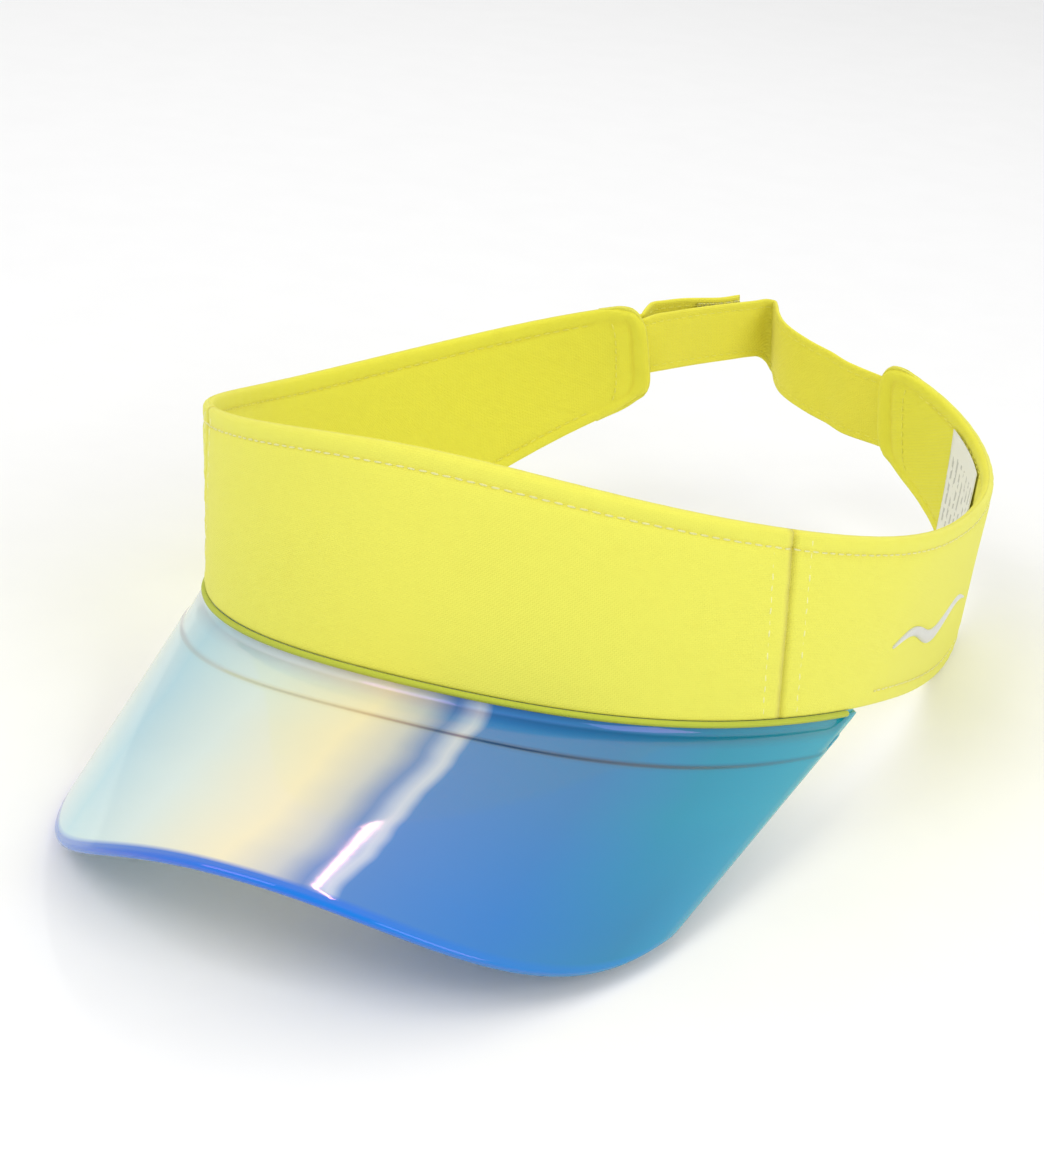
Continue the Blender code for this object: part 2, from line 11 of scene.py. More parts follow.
import bmesh
import bpy
import numpy as np
from mathutils import Matrix, Vector


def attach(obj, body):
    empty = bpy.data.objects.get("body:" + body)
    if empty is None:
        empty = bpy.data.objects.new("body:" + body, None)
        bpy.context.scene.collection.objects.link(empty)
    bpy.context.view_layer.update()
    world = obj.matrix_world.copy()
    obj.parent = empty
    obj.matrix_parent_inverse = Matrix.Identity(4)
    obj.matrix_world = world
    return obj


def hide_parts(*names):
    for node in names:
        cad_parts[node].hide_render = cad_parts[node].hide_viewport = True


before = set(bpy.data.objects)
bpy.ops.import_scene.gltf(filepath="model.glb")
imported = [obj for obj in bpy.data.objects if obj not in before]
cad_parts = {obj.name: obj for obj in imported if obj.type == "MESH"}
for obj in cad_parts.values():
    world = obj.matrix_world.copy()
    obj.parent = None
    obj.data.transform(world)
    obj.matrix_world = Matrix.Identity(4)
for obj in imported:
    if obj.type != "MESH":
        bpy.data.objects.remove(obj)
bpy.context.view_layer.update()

# ---- driving dimensions, mostly the solids' own ----
HALF_LENGTH = 0.2924
CURVATURE_AT = (-1.0, -0.828, -0.655, -0.466, -0.31, -0.155, 0.0,
                0.155, 0.31, 0.466, 0.655, 0.828, 1.0)
CURVATURE = (16.1, 11.2, 11.2, 8.8, 8.8, 11.8, 8.8, 11.8, 8.8, 8.8, 2.5, 14.2, 22.9)
FRONT_Y = -0.118
EDGE_AT = (-1.0, -0.81, -0.62, -0.414, -0.207, 0.0, 0.207, 0.414, 0.62, 0.81, 1.0)
TOP_HEIGHT = (0.0610, 0.0481, 0.0478, 0.0638, 0.0823, 0.0924,
              0.0823, 0.0638, 0.0478, 0.0401, 0.0500)
WIDTH_AT = (-1.0, -0.724, -0.483, -0.241, 0.0, 0.241, 0.483, 0.724, 1.0)
WIDTH = (0.0350, 0.0548, 0.0488, 0.0500, 0.0525, 0.0500, 0.0488, 0.0548, 0.0360)
LEAN_AT = (-1.0, -0.62, -0.31, 0.0, 0.31, 0.62, 1.0)
LEAN = (0.0110, -0.0085, 0.0007, 0.0109, 0.0007, -0.0085, 0.0080)
END_REACH = 0.004
END_INSET = 0.006
END_SQUARENESS = 4.6  # the solids' ends are a little rounder
SEAM_AT = 0.0884
BAND_THICK = 0.0030
ROLL_RADIUS = BAND_THICK / 2  # the edges of the band are rounded over its whole thickness
MID_DEPTH = -BAND_THICK / 2  # halfway between the band's faces

BRIM_HALF_BASE = 0.1202
BRIM_THICK = 0.0022
BRIM_CORNER_X = 0.0745
BRIM_CORNER_Y = -0.1415
BRIM_REACH = 0.0671
BRIM_RISE = 0.0305
BRIM_LIFT = 0.0026
BRIM_POWERS = (0.91, 1.20, 3.3)
FLANGE_RISE = 0.004  # how far the brim's flange runs up between the band's layers
SHEET_START = (0.0030, 0.0046)  # where the sheet starts, outward of and below the band's edge
SHEET_BEND = (  # outward, downward, thickness and ridge of the bend between the two; the ridge is how strong the painted step shade is
    (0.0, 0.0004, 0.0008, 0.0),
    (0.0002, 0.0020, 0.0010, 0.0),
    (0.0008, 0.0034, 0.0012, 0.0),
    (0.0017, 0.0042, 0.0014, 0.5),
)
TUCK_FROM = 0.88  # from this share of its half width the sheet's back corner is tucked in
TUCK = 0.75
STEP_AT = 0.009
STEP_THICK = 0.0014  # the sheet behind its moulded step
STEP_RAMP = 0.0022  # how far the sheet takes to reach its full thickness

STRAP_WIDTH = 0.0200
STRAP_THICK = 0.0012
STRAP_LEAN = 0.0040
STRAP_FLARE = 0.0050  # how much wider the sewn-in length is, up to the hard crease
STRAP_PLAN = (
    (0.0375, 0.1013, 0.0455), (0.0315, 0.1036, 0.0468), (0.0255, 0.1052, 0.0480),
    (0.0195, 0.1072, 0.0495), (0.0140, 0.1112, 0.0506), (0.0105, 0.1165, 0.0514),
    (0.0083, 0.1215, 0.0519), (0.0069, 0.1236, 0.0521), (0.0050, 0.1228, 0.0524),
    (0.0026, 0.1186, 0.0528), (-0.0035, 0.1080, 0.0540), (-0.0090, 0.0990, 0.0548),
    (-0.0135, 0.0905, 0.0556), (-0.0170, 0.0845, 0.0560),
)
RIBBON_ACROSS = (0.0, 0.010, 0.035, 0.075, 0.115, 0.15, 0.19, 0.3, 0.5,
                 0.7, 0.81, 0.85, 0.885, 0.925, 0.965, 0.99, 1.0)
RIBBON_STITCH = 0.0025  # from a ribbon's edges to their stitching
RIBBON_PULL = 0.00022
RIBBON_THIN = 0.00002
TAIL_PLAN = (
    (-0.0215, 0.0912, 0.0565), (-0.0185, 0.0965, 0.0562), (-0.0150, 0.1015, 0.0558),
    (-0.0105, 0.1060, 0.0553), (-0.0060, 0.1105, 0.0548), (-0.0022, 0.1168, 0.0544),
)
RING_BAR_AT = -(HALF_LENGTH - 0.010)
RING_WIRE = 0.0024
RING_HEIGHT = 0.0262
RING_WIDTH = 0.0080  # between the middles of its upright bars
RING_CORNER = 0.0016
RING_CLEARANCE = 0.0008
LEG_DEPTH = 0.0012
BAR_DEPTH = LEG_DEPTH + STRAP_THICK / 2 + RING_CLEARANCE + RING_WIRE / 2
TURN_RADIUS = BAR_DEPTH - LEG_DEPTH
TAIL_DEPTH = BAR_DEPTH + TURN_RADIUS
TURN_END = math.radians(148)
WING_STRAP_V = 0.29  # the strap's lower edge, on the wing with the ring and on the other
SEWN_STRAP_V = 0.30

PITCH = math.radians(3.7)
ROLL = math.radians(-1.1)
SETTLE = Vector((0.0010484, 0.0422302, 0.0090722))  # brings the middle of the box to the origin
STANDING = Matrix.Translation(SETTLE) @ Matrix.Rotation(ROLL, 4, "Y") @ Matrix.Rotation(PITCH, 4, "X")

# ---- the camera, in the band's frame ----
VIEW_AZIMUTH = math.radians(21.76)
VIEW_ELEVATION = math.radians(26.32)
VIEW_ROLL = math.radians(2.72)
VIEW_FROM = Vector((0.21875, -0.60391, 0.32286))
VIEW_LENS = 79.59
VIEW_SENSOR = 36.0


# ---- curves ----
def spline(knots, values):
    """A natural cubic through the points, as a function of arrays or numbers."""
    x, y = np.asarray(knots, float), np.asarray(values, float)
    step = np.diff(x)
    n = len(x)
    system, right = np.eye(n), np.zeros(n)
    for i in range(1, n - 1):
        system[i, i - 1 : i + 2] = step[i - 1], 2 * (step[i - 1] + step[i]), step[i]
        right[i] = 6 * ((y[i + 1] - y[i]) / step[i] - (y[i] - y[i - 1]) / step[i - 1])
    bend = np.linalg.solve(system, right)

    def value(at):
        at = np.asarray(at, float)
        i = np.clip(np.searchsorted(x, at) - 1, 0, n - 2)
        a, b, h = x[i + 1] - at, at - x[i], step[i]
        cubic = (bend[i] * a**3 + bend[i + 1] * b**3) / (6 * h)
        return cubic + (y[i] / h - bend[i] * h / 6) * a + (y[i + 1] / h - bend[i + 1] * h / 6) * b

    return value


def band_path():
    """Plan position and heading along the strip, from its curvature profile."""
    s = np.linspace(-1.1, 1.1, 1101) * HALF_LENGTH
    curvature = spline(CURVATURE_AT, CURVATURE)(np.clip(s / HALF_LENGTH, -1.0, 1.0))
    middle = len(s) // 2

    def integral(rate):
        total = np.concatenate([[0], np.cumsum((rate[1:] + rate[:-1]) / 2 * np.diff(s))])
        return total - total[middle]

    heading = integral(curvature)
    return s, integral(np.cos(heading)), integral(np.sin(heading)) + FRONT_Y, heading


PATH_S, PATH_X, PATH_Y, PATH_HEADING = band_path()
top_height = spline(EDGE_AT, TOP_HEIGHT)
edge_width = spline(WIDTH_AT, WIDTH)
edge_lean = spline(LEAN_AT, LEAN)


def share_of(s):
    return max(-1.0, min(1.0, s / HALF_LENGTH))


def width_at(s):
    return float(edge_width(share_of(s)))


def outward(s):
    heading = np.interp(s, PATH_S, PATH_HEADING)
    return Vector((math.sin(heading), -math.cos(heading), 0))


def along(s):
    heading = np.interp(s, PATH_S, PATH_HEADING)
    return Vector((math.cos(heading), math.sin(heading), 0))


def band_point(s, v, depth=0.0):
    """A point of the band, see the top of the file."""
    width, lean = width_at(s), float(edge_lean(share_of(s)))
    base = Vector((np.interp(s, PATH_S, PATH_X), np.interp(s, PATH_S, PATH_Y), 0))
    height = float(top_height(share_of(s))) - width * (1 - v)
    return base + outward(s) * (lean * (1 - v) + depth) + Vector((0, 0, height))


def end_at(v):
    """How far the rounded wing ends reach at the height v."""
    bow = math.sqrt(max(0.0, 1 - abs(2 * v - 1) ** END_SQUARENESS))
    return HALF_LENGTH - END_INSET + (END_REACH + END_INSET) * bow


def ripple(x, y, seed):
    """A smooth random height between about -1 and 1, from x and y in metres."""
    phases = np.random.default_rng(seed).uniform(0, math.tau, 6)
    waves = ((61, 35), (-43, 88), (130, -51), (97, 143), (-171, 66), (212, -189))  # per metre
    total = 0.0
    for i, ((a, b), phase) in enumerate(zip(waves, phases)):
        total += math.sin(a * x + b * y + phase) / (i + 1.5)
    return total / 1.7


# ---- materials ----
class Nodes:
    """Short calls for building one material's nodes."""

    def __init__(self, name):
        self.material = bpy.data.materials.new(name)
        self.material.use_nodes = True
        self.tree = self.material.node_tree
        self.shader = self.tree.nodes["Principled BSDF"]

    def add(self, kind, **settings):
        node = self.tree.nodes.new(kind)
        for key, value in settings.items():
            setattr(node, key, value)
        return node

    def link(self, source, target):
        self.tree.links.new(source, target)

    def set(self, **values):
        self.fill(self.shader, **values)

    def feed(self, socket, value):
        """Gives a socket a number or a colour, or links another node's output to it."""
        if isinstance(value, tuple):
            socket.default_value = (*value, 1.0)
        elif isinstance(value, (int, float)):
            socket.default_value = value
        else:
            self.link(value, socket)

    def fill(self, node, **values):
        for key, value in values.items():
            self.feed(node.inputs[key.replace("_", " ")], value)

    def math(self, operation, a, b=None):
        node = self.add("ShaderNodeMath", operation=operation)
        self.feed(node.inputs[0], a)
        if b is not None:
            self.feed(node.inputs[1], b)
        return node.outputs[0]

    def mix(self, factor, first, second, blend="MIX"):
        node = self.add("ShaderNodeMix", data_type="RGBA", blend_type=blend)
        for slot, value in ((0, factor), (6, first), (7, second)):
            self.feed(node.inputs[slot], value)
        return node.outputs[2]

    def times(self, a, b):
        return self.math("MULTIPLY", a, b)

    def plus(self, a, b):
        return self.math("ADD", a, b)

    def scaled(self, value, less, gain):
        return self.times(self.math("SUBTRACT", value, less), gain)

    def limited(self, value, top=1.0):
        """The value, kept between 0 and top."""
        return self.math("MINIMUM", self.math("MAXIMUM", value, 0.0), top)

    def place(self):
        """The piece's own UVs in metres: the pair, and each of the two by itself."""
        pair = self.add("ShaderNodeUVMap", uv_map="cloth").outputs["UV"]
        parts = self.add("ShaderNodeSeparateXYZ")
        self.link(pair, parts.inputs[0])
        return pair, parts.outputs[0], parts.outputs[1]

    def mark(self):
        """The shade painted on the piece's points."""
        return self.add("ShaderNodeAttribute", attribute_name="painted_shade").outputs["Fac"]

    def paint(self, colour):
        self.set(Base_Color=colour)

    def noise(self, vector, scale, detail=2.0, roughness=0.5):
        node = self.add("ShaderNodeTexNoise")
        self.fill(node, Scale=scale, Detail=detail, Roughness=roughness, Vector=vector)
        return node.outputs["Fac"]

    def bump(self, height, distance, strength=1.0):
        node = self.add("ShaderNodeBump")
        self.fill(node, Strength=strength, Distance=distance, Height=height)
        self.link(node.outputs["Normal"], self.shader.inputs["Normal"])


def weave_height(nodes, across, up, pitch):
    """The height of a plain weave with this thread spacing, from 0 to 1."""
    warp = nodes.math("SINE", nodes.times(across, math.pi / pitch))
    weft = nodes.math("SINE", nodes.times(up, math.pi / pitch))
    flip = nodes.math("GREATER_THAN", nodes.times(warp, weft), 0.0)
    first = nodes.times(nodes.math("ABSOLUTE", warp), flip)
    second = nodes.times(nodes.math("ABSOLUTE", weft), nodes.math("SUBTRACT", 1.0, flip))
    return nodes.plus(first, second)


def cloth(name, colour, shade, pitch=0.00045, depth=0.00006, sheen=0.15, roughness=0.85):
    """Woven cloth: threads along the piece's own UVs, a soft sheen, and painted shade, darker in the seams.
    """
    nodes = Nodes(name)
    pair, across, up = nodes.place()
    weave = weave_height(nodes, across, up, pitch)
    slub = nodes.noise(pair, 260.0, 3.0, 0.6)
    patches = nodes.noise(pair, 22.0, 2.0)
    fine = nodes.scaled(slub, 0.5, 0.22)
    broad = nodes.scaled(patches, 0.5, 0.16)
    threads = nodes.scaled(weave, 0.6, -0.10)
    # random tone, the weave, and the mark, which is painted shade in seams, along stitches and on edges
    amount = nodes.plus(nodes.plus(fine, broad), nodes.plus(threads, nodes.mark()))
    nodes.paint(nodes.mix(nodes.math("MAXIMUM", amount, 0.0), colour, shade))
    nodes.bump(nodes.plus(weave, nodes.times(slub, 0.8)), depth)
    nodes.set(Roughness=roughness, Sheen_Weight=sheen, Sheen_Roughness=0.45, Specular_IOR_Level=0.25)
    return nodes.material


def filled_ramp(nodes, stops, factor):
    """A colour ramp's output for these (place, colour) stops."""
    ramp = nodes.add("ShaderNodeValToRGB")
    while len(ramp.color_ramp.elements) < len(stops):
        ramp.color_ramp.elements.new(0.5)
    for element, (spot, colour) in zip(ramp.color_ramp.elements, stops):
        element.position = spot
        element.color = (*colour, 1.0)
    nodes.link(factor, ramp.inputs["Fac"])
    return ramp.outputs["Color"]


# From the wearer's right to the wearer's left across the brim's sheet.  The pale line from 0.567 to 0.576
# is a painted highlight: a streak of reflected light over the sheet's whole depth.
BRIM_STOPS = (
    (0.00, (0.80, 0.50, 0.62)),
    (0.03, (0.82, 0.80, 0.88)),
    (0.12, (0.70, 0.84, 0.95)),
    (0.25, (0.42, 0.73, 0.92)),
    (0.38, (0.74, 0.90, 0.92)),
    (0.49, (0.96, 0.91, 0.66)),
    (0.53, (0.62, 0.68, 0.70)),
    (0.556, (0.10, 0.28, 0.64)),
    # these two stops are the painted highlight streak
    (0.567, (0.44, 0.58, 0.82)),
    (0.576, (0.66, 0.76, 0.88)),
    (0.586, (0.05, 0.27, 0.66)),
    (0.70, (0.03, 0.26, 0.54)),
    (0.80, (0.001, 0.33, 0.48)),
    (1.00, (0.001, 0.46, 0.62)),
)
# Nearer the front, where the dye is deeper, and along the border itself.
NEAR_STOPS = (
    (0.50, (0.30, 0.52, 0.88)),
    (0.60, (0.005, 0.25, 0.82)),
    (0.72, (0.002, 0.24, 0.64)),
    (0.85, (0.001, 0.26, 0.48)),
    (1.00, (0.001, 0.42, 0.66)),
)
BORDER_STOPS = (
    (0.00, (0.30, 0.20, 0.78)),
    (0.20, (0.01, 0.17, 0.78)),
    (0.60, (0.003, 0.22, 0.78)),
    (0.80, (0.001, 0.26, 0.62)),
    (1.00, (0.001, 0.40, 0.64)),
)
# Painted shade along the moulded step, multiplied into the sheet's colour.
STEP_SHADE_STOPS = (
    (0.00, (0.86, 0.74, 0.86)),
    (0.45, (0.94, 0.80, 0.74)),
    (0.62, (0.48, 0.26, 0.36)),
    (0.78, (0.36, 0.44, 0.56)),
    (1.00, (0.55, 0.90, 0.90)),
)


def brim_vinyl():
    """Clear vinyl, iridescent: pale blue, cream, then deep blue and teal, with a bluer border, a painted
    highlight streak and painted shade along the moulded step.
    """
    nodes = Nodes("iridescent_vinyl")
    pair, across, forward = nodes.place()
    drift = nodes.scaled(nodes.noise(pair, 5.0, 1.0), 0.5, 0.02)
    across = nodes.plus(across, drift)
    border = nodes.limited(nodes.scaled(forward, 0.968, 50.0))
    near = nodes.limited(nodes.scaled(forward, 0.35, 1.6), 0.8)
    sideways = nodes.limited(nodes.scaled(across, 0.59, 8.0))
    near = nodes.times(near, sideways)
    colour = nodes.mix(near, filled_ramp(nodes, BRIM_STOPS, across), filled_ramp(nodes, NEAR_STOPS, across))
    colour = nodes.mix(border, colour, filled_ramp(nodes, BORDER_STOPS, across))
    # the mark multiplies in the painted shade along the moulded step
    nodes.paint(nodes.mix(nodes.mark(), colour, filled_ramp(nodes, STEP_SHADE_STOPS, across), "MULTIPLY"))
    nodes.set(Roughness=0.06, IOR=1.46, Transmission_Weight=0.16, Specular_IOR_Level=0.22,
              Thin_Film_Thickness=380.0, Thin_Film_IOR=1.5)
    nodes.bump(nodes.noise(pair, 60.0, 2.0), 0.00004, 0.2)
    return nodes.material


def glossy_plastic(name, colour):
    """Moulded plastic with a fine grain."""
    nodes = Nodes(name)
    grain = nodes.noise(nodes.add("ShaderNodeTexCoord").outputs["Object"], 900.0, 2.0)
    lighter = tuple(min(1.0, c * 1.12 + 0.01) for c in colour)
    nodes.paint(nodes.mix(grain, colour, lighter))
    nodes.bump(grain, 0.00002, 0.4)
    nodes.set(Roughness=0.32, Specular_IOR_Level=0.5)
    return nodes.material


def floor_paper():
    """Matt white paper."""
    nodes = Nodes("floor_paper")
    grain = nodes.noise(nodes.add("ShaderNodeTexCoord").outputs["Object"], 40.0, 3.0)
    nodes.paint(nodes.mix(grain, (0.90, 0.90, 0.90), (0.93, 0.93, 0.93)))
    nodes.set(Roughness=0.9, Specular_IOR_Level=0.1)
    return nodes.material


def satin_label():
    """White satin ribbon with rows of plain grey bars where a care label has its print."""
    nodes = Nodes("label_ribbon")
    pair, across, down = nodes.place()
    rows = nodes.math("SINE", nodes.times(across, math.tau / LABEL_ROW))
    words = nodes.math("GREATER_THAN", nodes.noise(pair, 420.0, 1.0), 0.47)
    printed = nodes.times(nodes.math("GREATER_THAN", rows, 0.35), words)
    started = nodes.math("GREATER_THAN", down, LABEL_PRINT[0])
    unfinished = nodes.math("LESS_THAN", down, LABEL_PRINT[1])
    ink = nodes.times(nodes.times(printed, nodes.times(started, unfinished)), 0.55)
    nodes.paint(nodes.mix(ink, (0.88, 0.88, 0.86), (0.22, 0.22, 0.23)))
    nodes.bump(weave_height(nodes, across, down, 0.0003), 0.00004)
    nodes.set(Roughness=0.45, Sheen_Weight=0.3)
    return nodes.material


def embroidery():
    """White satin stitch: close parallel threads across the shape."""
    nodes = Nodes("satin_stitch")
    _, across, up = nodes.place()
    slant = nodes.plus(across, nodes.times(up, 0.35))
    turn = nodes.times(slant, math.pi / SATIN_PITCH)
    thread = nodes.math("ABSOLUTE", nodes.math("SINE", turn))
    nodes.paint(nodes.mix(thread, (0.70, 0.70, 0.66), (0.94, 0.94, 0.92)))
    nodes.bump(thread, 0.00018)
    nodes.set(Roughness=0.4, Sheen_Weight=0.3, Specular_IOR_Level=0.5)
    return nodes.material


YELLOW = (0.84, 0.82, 0.11)
# YELLOW_SHADE is the darker colour for the cloth's random tone and for its painted shade
YELLOW_SHADE = (0.62, 0.42, 0.02)
LABEL_ROW = 0.0032  # between two lines of the label's print
LABEL_PRINT = (0.006, 0.027)  # where its print starts and ends, down from its top
SATIN_PITCH = 0.00042
MATERIALS = {
    "shell_cloth": cloth("shell_weave", YELLOW, YELLOW_SHADE),
    "lining_cloth": cloth("lining_weave", (0.84, 0.80, 0.065), (0.58, 0.40, 0.02), 0.0005),
    "sweat_terry": cloth("terry_loops", (0.80, 0.75, 0.06), (0.55, 0.42, 0.02), 0.0011, 0.0003, 0.6, 0.95),
    "foam": cloth("interlining_felt", (0.85, 0.84, 0.74), (0.62, 0.60, 0.50), 0.0009, 0.0001),
    "brim_clear": brim_vinyl(),
    "piping_cloth": cloth("binding_weave", (0.50, 0.56, 0.05), (0.26, 0.30, 0.03), 0.0004),
    "strap_cloth": cloth("strap_weave", (0.86, 0.80, 0.07), YELLOW_SHADE, 0.0006, 0.0001),
    "ring_plastic": glossy_plastic("ring_acetal", (0.74, 0.68, 0.06)),
    "hook_nylon": cloth("hook_and_loop", (0.72, 0.66, 0.08), (0.44, 0.36, 0.03), 0.0009, 0.0005, 0.5, 0.7),
    "label_satin": satin_label(),
    "motif_thread": embroidery(),
}
THREAD = cloth("topstitch_thread", (0.95, 0.93, 0.42), (0.86, 0.78, 0.18), 0.0003, 0.00005, 0.2, 0.6)
TONAL_THREAD = cloth("tonal_thread", (0.90, 0.86, 0.14), (0.70, 0.58, 0.04), 0.0003, 0.00005, 0.1, 0.6)


# ---- building meshes ----
def grid_object(name, rows, uvs, material, painted_shade=None, closed_rows=False):
    """An object from a grid of points in the band's frame, with UVs in metres along the cloth."""
    mesh = bpy.data.meshes.new(name)
    count, height = len(rows[0]), len(rows)
    faces = []
    for i in range(height if closed_rows else height - 1):
        k = (i + 1) % height
        for j in range(count - 1):
            faces.append((i * count + j, i * count + j + 1, k * count + j + 1, k * count + j))
    mesh.from_pydata([tuple(p) for row in rows for p in row], [], faces)
    dress(mesh, [uv for row in uvs for uv in row], painted_shade and [c for row in painted_shade for c in row])
    return finish_object(name, mesh, material)


def dress(mesh, uvs, painted_shade=None):
    """Gives a mesh its points' UVs and, if there is one, the shade painted on them."""
    layer = mesh.uv_layers.new(name="cloth")
    for loop in mesh.loops:
        layer.data[loop.index].uv = uvs[loop.vertex_index]
    if painted_shade:
        shade = mesh.attributes.new("painted_shade", "FLOAT", "POINT")
        shade.data.foreach_set("value", np.array(painted_shade, np.float32))


def new_object(name, data):
    obj = bpy.data.objects.new(name, data)
    bpy.context.scene.collection.objects.link(obj)
    return obj


def finish_object(name, mesh, material):
    """Stands a mesh built in the band's frame on the floor, as an object."""
    mesh.transform(STANDING)
    mesh.materials.append(material)
    mesh.shade_smooth()
    return new_object(name, mesh)


def thicken(obj, thickness):
    """Gives a cloth its thickness, below the face that was built."""
    solid = obj.modifiers.new("thickness", "SOLIDIFY")
    solid.thickness = thickness
    solid.offset = -1.0
    solid.use_rim = True
    return obj


def put(obj, body, slot, *nodes):
    """Rides a piece on a body, in place of the solids; slot is not used."""
    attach(obj, body)
    if nodes:
        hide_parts(*nodes)
    return obj


# ---- the band ----
STITCH_LINE = 0.0046  # from an edge to its topstitching
SEAM_STITCH = 0.0055  # from a side seam to the rows on either side of it
LOWER_STITCH_FROM = 0.128  # where the topstitching along the lower edge starts, out from the middle
END_STITCH = 0.0090  # from a wing's free end to its upright row
CLOTH_THICK = 0.0005
CLOTH_STEP = 0.0022  # between two points along a cloth
CLOTH_RISE = 0.0032  # and up it
FELT_DEPTHS = (-0.00135, -0.00165)
FELT_V = (0.14, 0.86)
TOPSTITCH_PULL = 0.00035  # how deep each line of stitches, and the seam, draws the cloth in
SEAM_PULL = 0.0005
ROW_PULL = 0.00030
TOPSTITCH_PUCKER = (0.00015, 0.0062)  # height of the puckers along it, and their spacing
ROW_PUCKER = (0.00020, 0.0068)
CLOTH_WAVE = 0.00045
EDGE_STEPS = [d / 1000 for d in (0.0, 0.06, 0.2, 0.45, 0.8, 1.3, 2.2, 3.6, 4.3, 4.6, 4.9, 5.6, 7.5)]


def edge_spaced(width, spacing):
    """Distances across a width, close together near both edges, in metres."""
    last = EDGE_STEPS[-1]
    count = max(2, round((width - 2 * last) / spacing))
    middle = list(np.linspace(last, width - last, count + 1))[1:-1]
    return EDGE_STEPS + middle + [width - d for d in reversed(EDGE_STEPS)]


def groove(distance, width=0.0009):
    """How strongly a line of stitches pulls the cloth in, this far from it."""
    return math.exp(-((distance / width) ** 2))


def edge_distance(s, v, rounded):
    """How far a point of the strip lies from its nearest free edge, round the wing ends too."""
    d = min(v, 1 - v) * width_at(s)
    if not rounded:
        return d
    left = end_at(v) - abs(s)
    turn = ROLL_RADIUS * 4
    if d >= turn and left >= turn:
        return min(d, left)
    return max(0.0, turn - math.hypot(max(0.0, turn - d), max(0.0, turn - left)))


def sewn(s, v):
    """1 where the nearest edge of the band is topstitched, and 0 along the brim's seam."""
    return 1.0 if v > 0.5 or abs(s) > LOWER_STITCH_FROM else 0.0


def puff(s, v, rounded, inner):
    """How deep the cloth lies below its layer's plane."""
    d = edge_distance(s, v, rounded)
    cross = abs(s) - SEAM_AT
    from_row = abs(cross) - SEAM_STITCH
    roll = 0.0
    if d < ROLL_RADIUS:
        roll = ROLL_RADIUS - math.sqrt(max(0.0, ROLL_RADIUS**2 - (ROLL_RADIUS - d) ** 2))
    inland = min(1.0, d / 0.002)
    pull = TOPSTITCH_PULL * sewn(s, v) * groove(d - STITCH_LINE)
    pull += SEAM_PULL * inland * groove(cross, 0.0005)
    pull += ROW_PULL * inland * groove(from_row)
    swing = math.sin(math.tau * s / TOPSTITCH_PUCKER[1] + 2 * ripple(s, d, 3))
    pucker = TOPSTITCH_PUCKER[0] * sewn(s, v) * swing * groove(d - STITCH_LINE, 0.004)
    height = v * width_at(s)
    swing = math.sin(math.tau * height / ROW_PUCKER[1] + (0.0 if inner else 2.0))
    pucker += ROW_PUCKER[0] * inland * swing * groove(from_row, 0.005)
    wave = CLOTH_WAVE * ripple(s, d * 0.6, 12 if inner else 11) * min(1.0, d / 0.010)
    return roll + pull + pucker - wave


def face_depth(s, v, rounded, inner):
    """The depth of one of the band's two faces."""
    dip = puff(s, v, rounded, inner)
    return -BAND_THICK + dip if inner else -dip


def spots_along(length, reach, rounded):
    """Distances along one row of a cloth, close together near a wing's free end."""
    if not rounded:
        return list(np.linspace(0, length, round(length / CLOTH_STEP) + 1))
    last = EDGE_STEPS[-1]
    even = list(np.linspace(0, reach - last, round((length - last) / CLOTH_STEP) + 1))
    return even + [reach - d for d in reversed(EDGE_STEPS[:-1])]


def cloth_shade(s, v, rounded):
    """Painted shade: how dark the cloth is painted in its seam, along its stitches and on its edges."""
    d, cross = edge_distance(s, v, rounded), abs(s) - SEAM_AT
    shade = 0.26 * groove(cross, 0.0004) + 0.20 * sewn(s, v) * groove(d - STITCH_LINE, 0.0006)
    return shade + 0.22 * groove(abs(cross) - SEAM_STITCH, 0.0006) + 0.08 * groove(d, 0.001)


def band_cloth(name, start, end, rounded, inner, node):
    """One face of the band from start to end; rounded says whether end is a wing's free end."""
    side = 1 if end > start else -1
    length = abs(end - start)
    width_here = width_at((start + end) / 2)
    heights = [d / width_here for d in edge_spaced(width_here, CLOTH_RISE)]
    turn = -1 if (side < 0) != inner else 1  # every face looks outward
    rows, uvs, shades = [], [], []
    for v in heights:
        reach = end_at(v) - abs(start) if rounded else length
        places = [start + side * t for t in spots_along(length, reach, rounded)][::turn]
        rows.append([band_point(s, v, face_depth(s, v, rounded, inner)) for s in places])
        uvs.append([(s, v * width_at(s)) for s in places])
        shades.append([cloth_shade(s, v, rounded) for s in places])
    slot = "lining_cloth" if inner else "shell_cloth"
    obj = thicken(grid_object(name, rows, uvs, MATERIALS[slot], shades), CLOTH_THICK)
    return put(obj, "band", slot, node)


def interlining(name, start, end, node):
    """The felt between the two cloths."""
    spots = np.linspace(start, end, max(4, round(abs(end - start) / 0.004)))
    heights = np.linspace(*FELT_V, 12)
    grids = [[[band_point(s, v, depth) for v in heights] for s in spots] for depth in FELT_DEPTHS]
    uvs = [[(s, v * 0.05) for v in heights] for s in spots]
    put(closed_loft(name, *grids, uvs, MATERIALS["foam"]), "band", "foam", node)


def make_band():
    band_cloth("front_cloth", -SEAM_AT, SEAM_AT, False, False, "front_panel")
    band_cloth("front_inner_cloth", -SEAM_AT, SEAM_AT, False, True, "front_lining")
    for side, word in ((1, "left"), (-1, "right")):
        start, end = side * SEAM_AT, side * HALF_LENGTH
        band_cloth(f"side_cloth_{word}", start, end, True, False, f"side_panel_{word}")
        band_cloth(f"inner_cloth_{word}", start, end, True, True, f"lining_{word}")
        ends = side * (SEAM_AT + 0.034), side * (HALF_LENGTH - 0.030)
        interlining(f"felt_{word}", *ends, f"stiffener_{word}")
    interlining("felt_front", -SEAM_AT + 0.001, SEAM_AT - 0.001, "front_stiffener")


